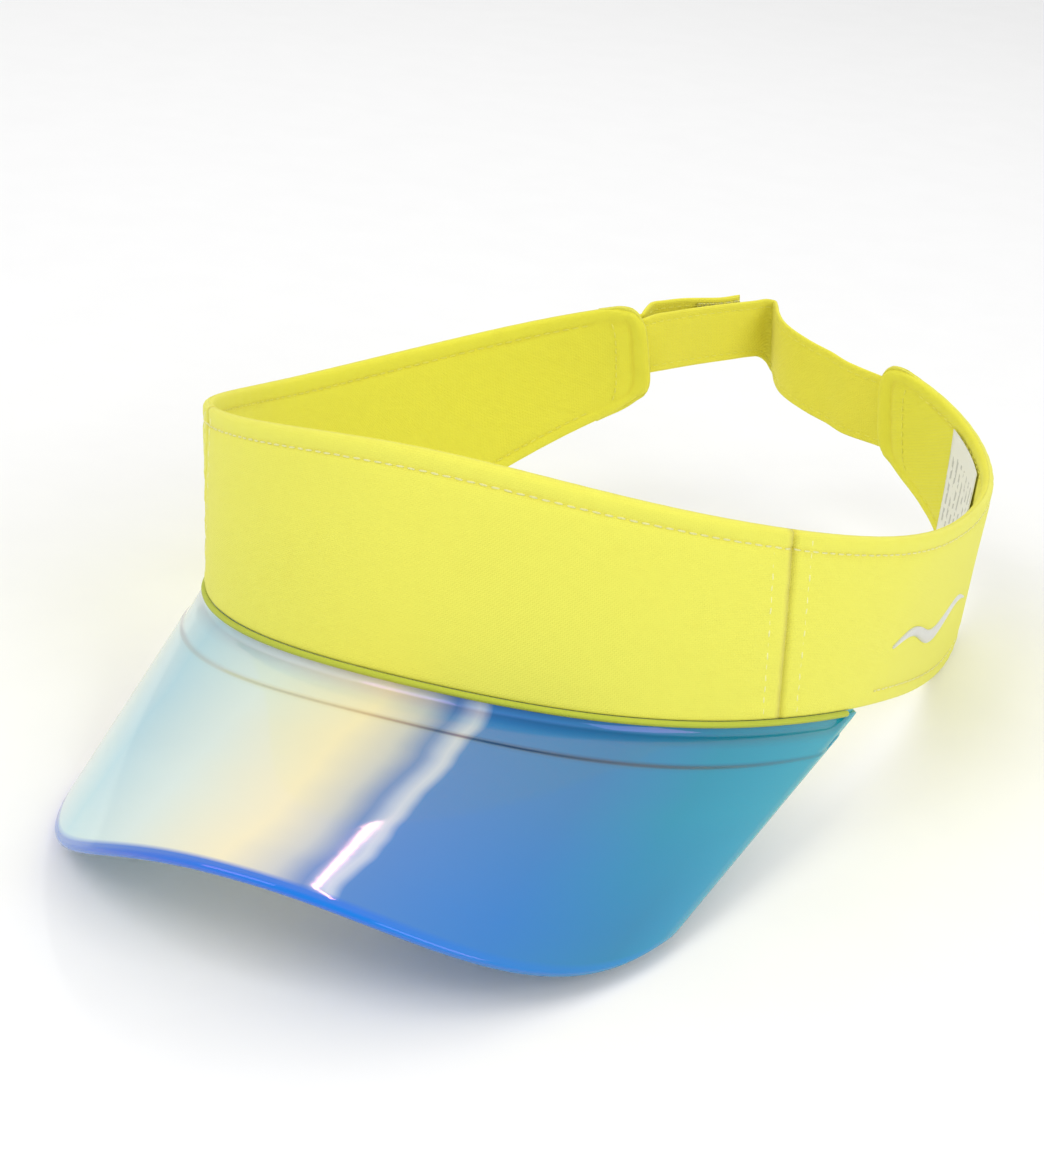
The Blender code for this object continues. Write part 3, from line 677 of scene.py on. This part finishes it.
# ---- stitches ----
def capsules(name, runs, material, radius=0.00026, length=0.0020, gap=0.0009):
    """Rows of short raised threads along lists of points in the band's frame."""
    points, faces, uvs = [], [], []
    rings = ((0.0, 0.25), (0.18, 0.85), (0.5, 1.0), (0.82, 0.85), (1.0, 0.25))
    sides = 6
    for line in runs:
        reach = np.concatenate([[0], np.cumsum([(b - a).length for a, b in zip(line, line[1:])])])
        coords = [np.array([p[axis] for p in line]) for axis in range(3)]

        def at(distance):
            return Vector([float(np.interp(distance, reach, c)) for c in coords])

        start = 0.0004
        while start + length < reach[-1]:
            first, last = at(start), at(start + length)
            way = (last - first).normalized()
            level = way.cross(Vector((0, 0, 1))) if abs(way.z) < 0.8 else way.cross(Vector((1, 0, 0)))
            level.normalize()
            other = way.cross(level)
            base = len(points)
            for share, size in rings:
                middle = first.lerp(last, share)
                for k in range(sides):
                    turn = math.tau * k / sides
                    around = level * math.cos(turn) + other * math.sin(turn)
                    points.append(middle + around * radius * size)
                    uvs.append((start + share * length, turn * radius))
            for ring in range(len(rings) - 1):
                for k in range(sides):
                    a, b = base + ring * sides + k, base + ring * sides + (k + 1) % sides
                    faces.append((a, b, b + sides, a + sides))
            faces.append(tuple(base + k for k in reversed(range(sides))))
            faces.append(tuple(base + (len(rings) - 1) * sides + k for k in range(sides)))
            start += length + gap
    mesh = bpy.data.meshes.new(name)
    mesh.from_pydata([tuple(p) for p in points], [], faces)
    dress(mesh, uvs)
    return finish_object(name, mesh, material)


def on_face(s, v, rounded, inner):
    """Where a thread lies on one of the band's faces."""
    lift = -0.00008 if inner else 0.00008
    return band_point(s, v, face_depth(s, v, rounded, inner) + lift)


def edge_run(start, end, lower, rounded, inner):
    """A line along the upper or the lower edge of the band."""
    line = []
    for s in np.linspace(start, end, max(3, round(abs(end - start) / 0.0012))):
        v = STITCH_LINE / width_at(s)
        line.append(on_face(s, v if lower else 1 - v, rounded, inner))
    return line


def end_run(side, inner):
    """An upright line near a wing's free end, joining the lines along both edges."""
    wide = float(edge_width(side))
    low, high = STITCH_LINE / wide, 1 - STITCH_LINE / wide
    return [on_face(side * (end_at(v) - END_STITCH), v, True, inner) for v in np.linspace(low, high, 30)]


def upright_run(s):
    return [on_face(s, v, False, False) for v in np.linspace(0.03, 0.97, 48)]


def make_stitches():
    seams = [upright_run(side * (SEAM_AT + off)) for side in (1, -1) for off in (-SEAM_STITCH, SEAM_STITCH)]
    front = [edge_run(-SEAM_AT, SEAM_AT, False, False, inner) for inner in (False, True)]
    put(capsules("front_stitches", front + seams, THREAD), "band", "shell_cloth")
    for side, word in ((1, "left"), (-1, "right")):
        last = side * (HALF_LENGTH - END_STITCH - 0.002)
        for inner, layer, thread in ((False, "outer", THREAD), (True, "inner", TONAL_THREAD)):
            runs = [edge_run(side * SEAM_AT, last, False, True, inner),
                    edge_run(side * LOWER_STITCH_FROM, last, True, True, inner), end_run(side, inner)]
            stitches = capsules(f"wing_stitches_{layer}_{word}", runs, thread, radius=0.00024)
            put(stitches, "band", "shell_cloth")


# ---- sweatband and piping ----
SWEAT_V, SWEAT_SPAN = 0.02, 0.48  # its lower edge, and its width as a share of the band's
SWEAT_WIDTH = 0.025
SWEAT_OFF = 0.0004  # how far its edges stand off the lining
SWEAT_PUFF = 0.0008
SWEAT_THICK = 0.0004
BINDING_RADIUS = 0.0008


def make_sweatband():
    """A terry strip, puffed between its stitched edges."""
    rows, uvs = [], []
    for share in np.linspace(0, 1, 22):
        row, uv = [], []
        for s in np.linspace(BRIM_HALF_BASE, -BRIM_HALF_BASE, 110):
            v = SWEAT_V + SWEAT_SPAN * share
            rise = SWEAT_PUFF * math.sin(math.pi * share) ** 0.5 + 0.00012 * ripple(3 * s, share * 0.1, 7)
            row.append(band_point(s, v, -BAND_THICK - SWEAT_OFF - rise))
            uv.append((s, share * SWEAT_WIDTH))
        rows.append(row)
        uvs.append(uv)
    obj = thicken(grid_object("sweat_strip", rows, uvs, MATERIALS["sweat_terry"]), SWEAT_THICK)
    put(obj, "band", "sweat_terry", "sweatband")


def swept(name, line, radius, material):
    """A cord along a line, as a closed tube with rounded ends."""
    rows, uvs = [], []
    travelled = 0.0
    for i, point in enumerate(line):
        before, after = line[max(0, i - 1)], line[min(len(line) - 1, i + 1)]
        way = (after - before).normalized()
        level = way.cross(Vector((0, 0, 1))).normalized()
        rise = level.cross(way)
        size = radius * (0.05 if i in (0, len(line) - 1) else 1.0)
        travelled += (point - before).length
        turns = np.linspace(0, math.tau, 13)
        rows.append([point + (level * math.cos(t) + rise * math.sin(t)) * size for t in turns])
        uvs.append([(travelled, t * radius) for t in turns])
    return grid_object(name, rows, uvs, material)


def make_piping():
    spots = np.linspace(-BRIM_HALF_BASE + 0.004, BRIM_HALF_BASE - 0.004, 160)
    line = [band_point(s, 0.0, 0.0001) + Vector((0, 0, -0.0003)) for s in spots]
    obj = welded(swept("brim_binding", line, BINDING_RADIUS, MATERIALS["piping_cloth"]))
    put(obj, "band", "piping_cloth", "brim_piping")


# ---- the brim ----
def brim_front_point(turn):
    px, py, pz = BRIM_POWERS
    sine, cosine = math.sin(turn), max(0.0, math.cos(turn))
    x = BRIM_CORNER_X * math.copysign(abs(sine) ** px, sine)
    return Vector((x, BRIM_CORNER_Y - BRIM_REACH * cosine**py, BRIM_LIFT + BRIM_RISE * cosine**pz))


def brim_path(share):
    """The brim's middle line, thickness, way forward (0 to 1) and ridge, the strength of the painted step
    shade, from flange to edge.
    """
    s, turn = share * BRIM_HALF_BASE, share * math.pi / 2
    out, up = outward(s), Vector((0, 0, 1))
    base = band_point(s, 0.0, MID_DEPTH)
    late = max(0.0, (abs(share) - TUCK_FROM) / (1 - TUCK_FROM))
    tuck = 1 - TUCK * late * late * (3 - 2 * late)
    out, up = out * tuck, up * tuck
    start = base + out * SHEET_START[0] - up * SHEET_START[1]
    run = brim_front_point(turn) - start
    step = min(0.4, STEP_AT / run.length)
    flange = band_point(s, FLANGE_RISE / width_at(s), MID_DEPTH)
    path = [(flange, SHEET_BEND[0][2], 0.0, 0.0)]
    for outward_by, down_by, thick, ridge in SHEET_BEND:
        path.append((base + out * outward_by - up * down_by, thick, 0.0, ridge))
    path.append((start, STEP_THICK, 0.0, 0.3))
    for part in (0.3, 0.6, 0.9):
        path.append((start + run * step * part, STEP_THICK, step * part, 0.0))
    ramp = min(0.1, STEP_RAMP / run.length)
    for part, ridge in ((0.0, 0.4), (0.25, 0.9), (0.5, 1.0), (0.75, 0.7), (1.0, 0.1)):
        ease = part * part * (3 - 2 * part)
        way_on = step + ramp * part
        path.append((start + run * way_on, STEP_THICK + (BRIM_THICK - STEP_THICK) * ease, way_on, ridge))
    for part in np.linspace(step + ramp + 0.015, 1.0, 28):
        path.append((start + run * part, BRIM_THICK, part, 0.0))
    half = BRIM_THICK / 2
    way = run.normalized()
    tip = path[-1][0]
    for turn_out in (25, 45, 65, 80, 88):
        angle = math.radians(turn_out)
        path.append((tip + way * half * math.sin(angle), BRIM_THICK * math.cos(angle), 1.0, 0.0))
    return path


def brim_row(share):
    """The brim's upper and lower points, UVs and ridge, the strength of the painted step shade, at a share
    of its half width.
    """
    path = brim_path(share)
    points = [entry[0] for entry in path]
    ahead, behind = brim_path(min(1, share + 0.01)), brim_path(max(-1, share - 0.01))
    high, low, uv, ridge = [], [], [], []
    for i, (point, thick, way_on, mark) in enumerate(path):
        before, after = points[max(0, i - 1)], points[min(len(points) - 1, i + 1)]
        normal = (ahead[i][0] - behind[i][0]).cross(after - before).normalized()
        high.append(point - normal * thick / 2)
        low.append(point + normal * thick / 2)
        uv.append((0.5 + 0.5 * share, way_on))
        ridge.append(mark)
    return high, low, uv, ridge


def rounded_side(row, beside):
    """Rows that close one side of the brim with a half-round edge, from the sheet outwards."""
    rows = []
    for turn_out in (30, 55, 75, 88):
        angle = math.radians(turn_out)
        high, low = [], []
        for top, under, near_top, near_under in zip(row[0], row[1], beside[0], beside[1]):
            middle, half = (top + under) / 2, (top - under) / 2
            way = (middle - (near_top + near_under) / 2).normalized()
            spot = middle + way * half.length * math.sin(angle)
            high.append(spot + half * math.cos(angle))
            low.append(spot - half * math.cos(angle))
        rows.append((high, low, row[2], row[3]))
    return rows


def make_brim():
    shares = [math.copysign(abs(x) ** 0.9, x) for x in np.linspace(-1, 1, 141)]
    rows = [brim_row(share) for share in shares]
    rows = rounded_side(rows[0], rows[1])[::-1] + rows + rounded_side(rows[-1], rows[-2])
    upper, lower, uvs, ridges = ([row[k] for row in rows] for k in range(4))
    obj = closed_loft("brim_vinyl", upper, lower, uvs, MATERIALS["brim_clear"], ridges)
    put(obj, "band", "brim_clear", "brim")


def put_loft(name, rows, body, slot, node):
    """A closed piece from rows of (upper point, lower point, UV)."""
    upper, lower, uvs = ([[spot[k] for spot in row] for row in rows] for k in range(3))
    return put(closed_loft(name, upper, lower, uvs, MATERIALS[slot]), body, slot, node)


def closed_loft(name, upper, lower, uvs, material, painted_shade=None):
    """A closed body between two grids of the same size that don't meet."""
    mesh = bpy.data.meshes.new(name)
    rows, count = len(upper), len(upper[0])
    size = rows * count
    points = [tuple(p) for grid in (upper, lower) for row in grid for p in row]
    flat = [uv for _ in range(2) for row in uvs for uv in row]
    faces = []
    for i in range(rows - 1):
        for j in range(count - 1):
            quad = [i * count + j, i * count + j + 1, (i + 1) * count + j + 1, (i + 1) * count + j]
            faces.append(quad)
            faces.append([size + k for k in reversed(quad)])
    rim = list(range(count)) + [i * count + count - 1 for i in range(1, rows)]
    rim += [(rows - 1) * count + j for j in range(count - 2, -1, -1)]
    rim += [i * count for i in range(rows - 2, 0, -1)]
    for first, second in zip(rim, rim[1:] + rim[:1]):
        faces.append([second, first, size + first, size + second])
    mesh.from_pydata(points, [], faces)
    dress(mesh, flat, painted_shade and [mark for _ in range(2) for row in painted_shade for mark in row])
    body = bmesh.new()
    body.from_mesh(mesh)
    bmesh.ops.recalc_face_normals(body, faces=body.faces)
    body.to_mesh(mesh)
    body.free()
    return finish_object(name, mesh, material)


# ---- strap and closure ----
def plan_edges(points, flare=()):
    """A ribbon's edges hanging from its upper line; flare widens the first of them downwards."""
    edges = []
    for i, point in enumerate(points):
        drop = math.sqrt(STRAP_WIDTH**2 - STRAP_LEAN**2) + (flare[i] if i < len(flare) else 0.0)
        high = Vector(point)
        away = Vector((high.x * 0.3, 1.0 - abs(high.x), 0)).normalized()
        edges.append((high + away * STRAP_LEAN - Vector((0, 0, drop)), high))
    return edges


def wing_edges(s, depth, low_v=WING_STRAP_V, flare=0.0):
    wide = math.hypot(width_at(s), float(edge_lean(share_of(s))))
    return band_point(s, low_v - flare / wide, depth), band_point(s, low_v + STRAP_WIDTH / wide, depth)


def ring_turn(start, end, steps):
    """Edges on the arc round the ring's outer bar, from the inner leg at 0 to the tail at 180."""
    low, high = wing_edges(RING_BAR_AT, BAR_DEPTH)
    out, way = outward(RING_BAR_AT), along(RING_BAR_AT)
    edges = []
    for turn in np.linspace(start, end, steps):
        offset = (way * math.sin(turn) - out * math.cos(turn)) * TURN_RADIUS
        edges.append((low + offset, high + offset))
    return edges


def smooth_edges(edges, spacing=0.0012):
    """The same ribbon edges, resampled evenly along a smooth curve through them."""
    middles = [(low + high) / 2 for low, high in edges]
    steps = [max(1e-6, (b - a).length) for a, b in zip(middles, middles[1:])]
    reach = np.concatenate([[0], np.cumsum(steps)])
    wanted = np.linspace(0, reach[-1], max(4, round(reach[-1] / spacing)))
    sides = []
    for k in (0, 1):
        curves = [tamed(reach, [edge[k][axis] for edge in edges])(wanted) for axis in range(3)]
        sides.append([Vector(spot) for spot in zip(*curves)])
    return list(zip(*sides))


def tamed(x, y):
    """A cubic through the points that doesn't overshoot between them."""
    x, y = np.asarray(x, float), np.asarray(y, float)
    slope = np.diff(y) / np.diff(x)
    tangent = np.zeros(len(x))
    tangent[0], tangent[-1] = slope[0], slope[-1]
    for i in range(1, len(x) - 1):
        if slope[i - 1] * slope[i] > 0:
            tangent[i] = 2 * slope[i - 1] * slope[i] / (slope[i - 1] + slope[i])

    def value(at):
        i = np.clip(np.searchsorted(x, at) - 1, 0, len(x) - 2)
        h = x[i + 1] - x[i]
        t = (at - x[i]) / h
        return ((2 * t**3 - 3 * t**2 + 1) * y[i] + (t**3 - 2 * t**2 + t) * h * tangent[i]
                + (-2 * t**3 + 3 * t**2) * y[i + 1] + (t**3 - t**2) * h * tangent[i + 1])

    return value


def ribbon_normal(edges, i):
    """The normal of a ribbon's face at one of its crosslines."""
    before, after = edges[max(0, i - 1)], edges[min(len(edges) - 1, i + 1)]
    way = ((after[0] + after[1]) - (before[0] + before[1])).normalized()
    return way.cross(edges[i][1] - edges[i][0]).normalized()


def ribbon_lift(d, share, travelled, seed):
    """Half a ribbon's thickness, d metres from its nearer edge."""
    half = STRAP_THICK / 2
    pull = RIBBON_PULL * groove(d - RIBBON_STITCH, 0.0007)
    if d < half:
        return math.sqrt(max(0.0, half**2 - (half - d) ** 2)) - pull
    crown = 0.00007 * math.sin(math.pi * share) + 0.00005 * ripple(travelled * 3, share * 0.05, seed)
    return half - pull + (crown if d > half else 0.0)


def ribbon(name, edges, seed, body, node):
    """A stitched ribbon of cloth: puffed faces between its edge seams, and rounded edges."""
    rows = []
    travelled = 0.0
    for i, (low, high) in enumerate(edges):
        before = edges[max(0, i - 1)]
        normal = ribbon_normal(edges, i)
        travelled += ((low + high) - (before[0] + before[1])).length / 2
        wide = (high - low).length
        row = []
        for share in RIBBON_ACROSS:
            lift = max(RIBBON_THIN, ribbon_lift(min(share, 1 - share) * wide, share, travelled, seed))
            if i in (0, len(edges) - 1):
                lift = max(RIBBON_THIN, lift * 0.35)
            spot = low.lerp(high, share)
            row.append((spot + normal * lift, spot - normal * lift, (travelled, share * wide)))
        rows.append(row)
    put_loft(name, rows, body, "strap_cloth", node)


def ribbon_stitches(name, edges):
    """Threads along both edges of a ribbon, on both its faces."""
    runs = []
    for face in (1, -1):
        for near_low in (True, False):
            line = []
            for i, (low, high) in enumerate(edges):
                rise = (high - low).normalized() * RIBBON_STITCH
                spot = low + rise if near_low else high - rise
                line.append(spot + ribbon_normal(edges, i) * face * (STRAP_THICK / 2 - 0.0001))
            runs.append(line)
    return capsules(name, runs, TONAL_THREAD, radius=0.00018)


def strap_edges():
    sewn_in = np.linspace(HALF_LENGTH - 0.020, HALF_LENGTH + 0.003, 6)
    edges = [wing_edges(s, MID_DEPTH, SEWN_STRAP_V, STRAP_FLARE) for s in sewn_in]
    edges += plan_edges(STRAP_PLAN, [STRAP_FLARE] * 8 + [STRAP_FLARE * 0.5])
    edges += [wing_edges(s, LEG_DEPTH) for s in np.linspace(-HALF_LENGTH - 0.001, RING_BAR_AT - 0.002, 4)]
    edges += ring_turn(0, TURN_END, 9)
    return smooth_edges(edges, 0.0008)


def tail_edges():
    edges = [wing_edges(s, TAIL_DEPTH) for s in np.linspace(RING_BAR_AT - 0.0010, -HALF_LENGTH, 4)]
    edges += plan_edges(TAIL_PLAN)
    return smooth_edges(edges, 0.0012)


def make_strap():
    edges = strap_edges()
    ribbon("back_strap", edges, 21, "band", "strap")
    clear_of_the_seams = edges[18:-14]
    put(ribbon_stitches("strap_stitches", clear_of_the_seams), "band", "strap_cloth")
    edges = tail_edges()
    ribbon("strap_end", edges, 22, "tail", "strap_tail")
    put(ribbon_stitches("strap_end_stitches", edges[3:-1]), "tail", "strap_cloth")


# ---- closure details, label and motif ----
LABEL_AT = 0.249
LABEL_SIZE = (0.026, 0.034)
LABEL_TOP_V = 0.92
LABEL_STANDOFF = 0.0025  # how far its lower edge stands off the lining
LABEL_OFF = 0.0006  # how far its sewn edge does
LABEL_HALF_THICK = 0.00012
MOTIF_AT = (0.134, 0.206)
MOTIF_V = (0.35, 0.44)
MOTIF_SWING = 0.05
MOTIF_HALF = 0.040
MOTIF_CROWN = 0.0006  # how far its threads stand proud of the cloth
MOTIF_BACK = -0.0004


def make_label():
    """A satin label hanging from its sewn upper edge, its free edge curling off the lining."""
    width, drop = LABEL_SIZE
    rows = []
    for share in np.linspace(0, 1, 26):
        row = []
        for across in np.linspace(-0.5, 0.5, 21):
            s = LABEL_AT + across * width
            v = LABEL_TOP_V - share * drop / width_at(s)
            curl = LABEL_STANDOFF * share**1.5 + 0.0006 * share * math.sin(3.0 * across + 0.6)
            depth = -BAND_THICK - LABEL_OFF - curl
            inner = band_point(s, v, depth - LABEL_HALF_THICK)
            outer = band_point(s, v, depth + LABEL_HALF_THICK)
            row.append((inner, outer, ((across + 0.5) * width, share * drop)))
        rows.append(row)
    obj = put_loft("hanging_label", rows, "label", "label_satin", "care_label")


def make_motif():
    """A plain wave in satin stitch, thicker along its middle."""
    start, end = MOTIF_AT
    rows = []
    for phase in np.linspace(0, 1, 70):
        s = start + (end - start) * phase
        level = MOTIF_V[0] + (MOTIF_V[1] - MOTIF_V[0]) * phase
        centre = level + MOTIF_SWING * math.sin(3 * math.pi * phase)
        half = MOTIF_HALF * math.sin(math.pi * (0.06 + 0.88 * phase))
        row = []
        for share in np.linspace(-1, 1, 11):
            crown = MOTIF_CROWN * math.sqrt(max(0.0, 1 - share * share)) + 0.00005
            v = centre + half * share
            row.append((band_point(s, v, crown), band_point(s, v, MOTIF_BACK), (s, share * half * 0.05)))
        rows.append(row)
    put_loft("stitched_wave", rows, "band", "motif_thread", "side_motif")


def welded(obj):
    """Joins the points that coincide, as along the seam of a tube."""
    body = bmesh.new()
    body.from_mesh(obj.data)
    bmesh.ops.remove_doubles(body, verts=body.verts, dist=1e-7)
    bmesh.ops.recalc_face_normals(body, faces=body.faces)
    body.to_mesh(obj.data)
    body.free()
    return obj


def make_ring():
    """The rectangular ring of round wire that the strap turns back through."""
    low, high = wing_edges(RING_BAR_AT, BAR_DEPTH)
    middle, way, rise = (low + high) / 2, along(RING_BAR_AT), (high - low).normalized()
    face = way.cross(rise).normalized()
    half = RING_HEIGHT / 2 - RING_WIRE / 2
    line = []
    corners = ((RING_WIDTH, half, 0), (0, half, 90), (0, -half, 180), (RING_WIDTH, -half, 270))
    for across, up, start in corners:
        x = across - math.copysign(RING_CORNER, across - 0.001)
        z = up - math.copysign(RING_CORNER, up)
        for turn in np.radians(np.linspace(start, start + 90, 9)):
            over, along_bar = x + RING_CORNER * math.cos(turn), z + RING_CORNER * math.sin(turn)
            line.append(middle + way * over + rise * along_bar)
    rows, uvs = [], []
    turns = np.linspace(0, math.tau, 17)
    for i, point in enumerate(line):
        side = (line[(i + 1) % len(line)] - line[i - 1]).normalized().cross(face)
        rows.append([point + (side * math.cos(t) + face * math.sin(t)) * RING_WIRE / 2 for t in turns])
        uvs.append([(i * 0.0008, t * RING_WIRE / 2) for t in turns])
    obj = grid_object("wire_ring", rows, uvs, MATERIALS["ring_plastic"], closed_rows=True)
    put(welded(obj), "ring", "ring_plastic", "slide_ring")


def softened(name, node, body_name, slot):
    """A cloth piece in a solid's place, with rounded edges and UVs along its own length."""
    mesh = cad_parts[node].data.copy()
    mesh.name = name
    mesh.materials.clear()
    mesh.materials.append(MATERIALS[slot])
    body = bmesh.new()
    body.from_mesh(mesh)
    bmesh.ops.remove_doubles(body, verts=body.verts, dist=1e-6)
    bmesh.ops.dissolve_limit(body, angle_limit=math.radians(1), verts=body.verts, edges=body.edges)
    points = np.array([vert.co for vert in body.verts])
    middle = points.mean(axis=0)
    axes = np.linalg.svd(points - middle)[2]
    layer = body.loops.layers.uv.new("cloth")
    for face in body.faces:
        for loop in face.loops:
            offset = np.array(loop.vert.co) - middle
            loop[layer].uv = (float(offset @ axes[0]), float(offset @ axes[1]))
    body.to_mesh(mesh)
    body.free()
    mesh.shade_smooth()
    obj = new_object(name, mesh)
    edge = obj.modifiers.new("edge", "BEVEL")
    edge.width = 0.0002
    edge.segments = 3
    edge.angle_limit = math.radians(40)
    return put(obj, body_name, slot, node)


def make_closure():
    make_ring()
    softened("ring_loop", "ring_tab", "band", "shell_cloth")
    softened("hook_patch", "hook_pad", "tail", "hook_nylon")
    softened("loop_patch", "loop_pad", "band", "hook_nylon")


# ---- stage ----
def make_floor():
    bpy.ops.mesh.primitive_plane_add(size=6.0, location=(0, 0, 0))
    floor = bpy.context.object
    floor.name = "floor"
    floor.data.materials.append(floor_paper())


def area_light(name, at, towards, size, power, long_side=(1, 0, 0)):
    """A soft rectangular light facing a point, its width lying along long_side."""
    light = bpy.data.lights.new(name, "AREA")
    light.shape = "RECTANGLE"
    light.size, light.size_y = size
    light.energy = power
    back = (Vector(at) - Vector(towards)).normalized()
    level = Vector(long_side)
    level = (level - back * level.dot(back)).normalized()
    turn = Matrix((level, back.cross(level), back)).transposed().to_4x4()
    new_object(name, light).matrix_world = Matrix.Translation(at) @ turn


WORLD_STRENGTH = 0.80
# Each light's name, place, aim, size and power, and which way its width lies.  The streak is
# a narrow strip, and its reflection runs along the front of the brim.
LIGHTS = (
    ("key", (-0.55, -0.9, 1.3), (0, 0, 0.03), (0.9, 0.9), 7),
    ("fill", (1.2, -0.5, 0.7), (0, 0, 0.03), (0.8, 0.8), 5.5),
    ("streak", (-0.175, 0.680, 0.893), (0.018, -0.127, 0.031), (0.80, 0.014), 1.0, (0.756, -0.515, 0.405)),
)


def make_lights():
    world = bpy.data.worlds.new("studio")
    bpy.context.scene.world = world
    world.use_nodes = True
    sky = world.node_tree.nodes["Background"]
    sky.inputs["Color"].default_value = (1, 1, 1, 1)
    sky.inputs["Strength"].default_value = WORLD_STRENGTH
    for light in LIGHTS:
        area_light(*light)


def make_camera():
    azimuth, elevation = VIEW_AZIMUTH, VIEW_ELEVATION
    back = Vector((math.sin(azimuth) * math.cos(elevation), -math.cos(azimuth) * math.cos(elevation),
                   math.sin(elevation)))
    level = Vector((math.cos(azimuth), math.sin(azimuth), 0))
    upright = back.cross(level)
    right = level * math.cos(VIEW_ROLL) + upright * math.sin(VIEW_ROLL)
    top = upright * math.cos(VIEW_ROLL) - level * math.sin(VIEW_ROLL)
    camera = bpy.data.cameras.new("camera")
    camera.lens = VIEW_LENS
    camera.sensor_width = VIEW_SENSOR
    camera.sensor_fit = "AUTO"
    obj = new_object("camera", camera)
    turn = Matrix((right, top, back)).transposed().to_4x4()
    obj.matrix_world = STANDING @ Matrix.Translation(VIEW_FROM) @ turn
    bpy.context.scene.camera = obj


make_band()
make_stitches()
make_sweatband()
make_piping()
make_brim()
make_strap()
make_label()
make_motif()
make_closure()
make_floor()
make_lights()
make_camera()
bpy.context.scene.view_settings.view_transform = "Standard"
bpy.context.view_layer.update()
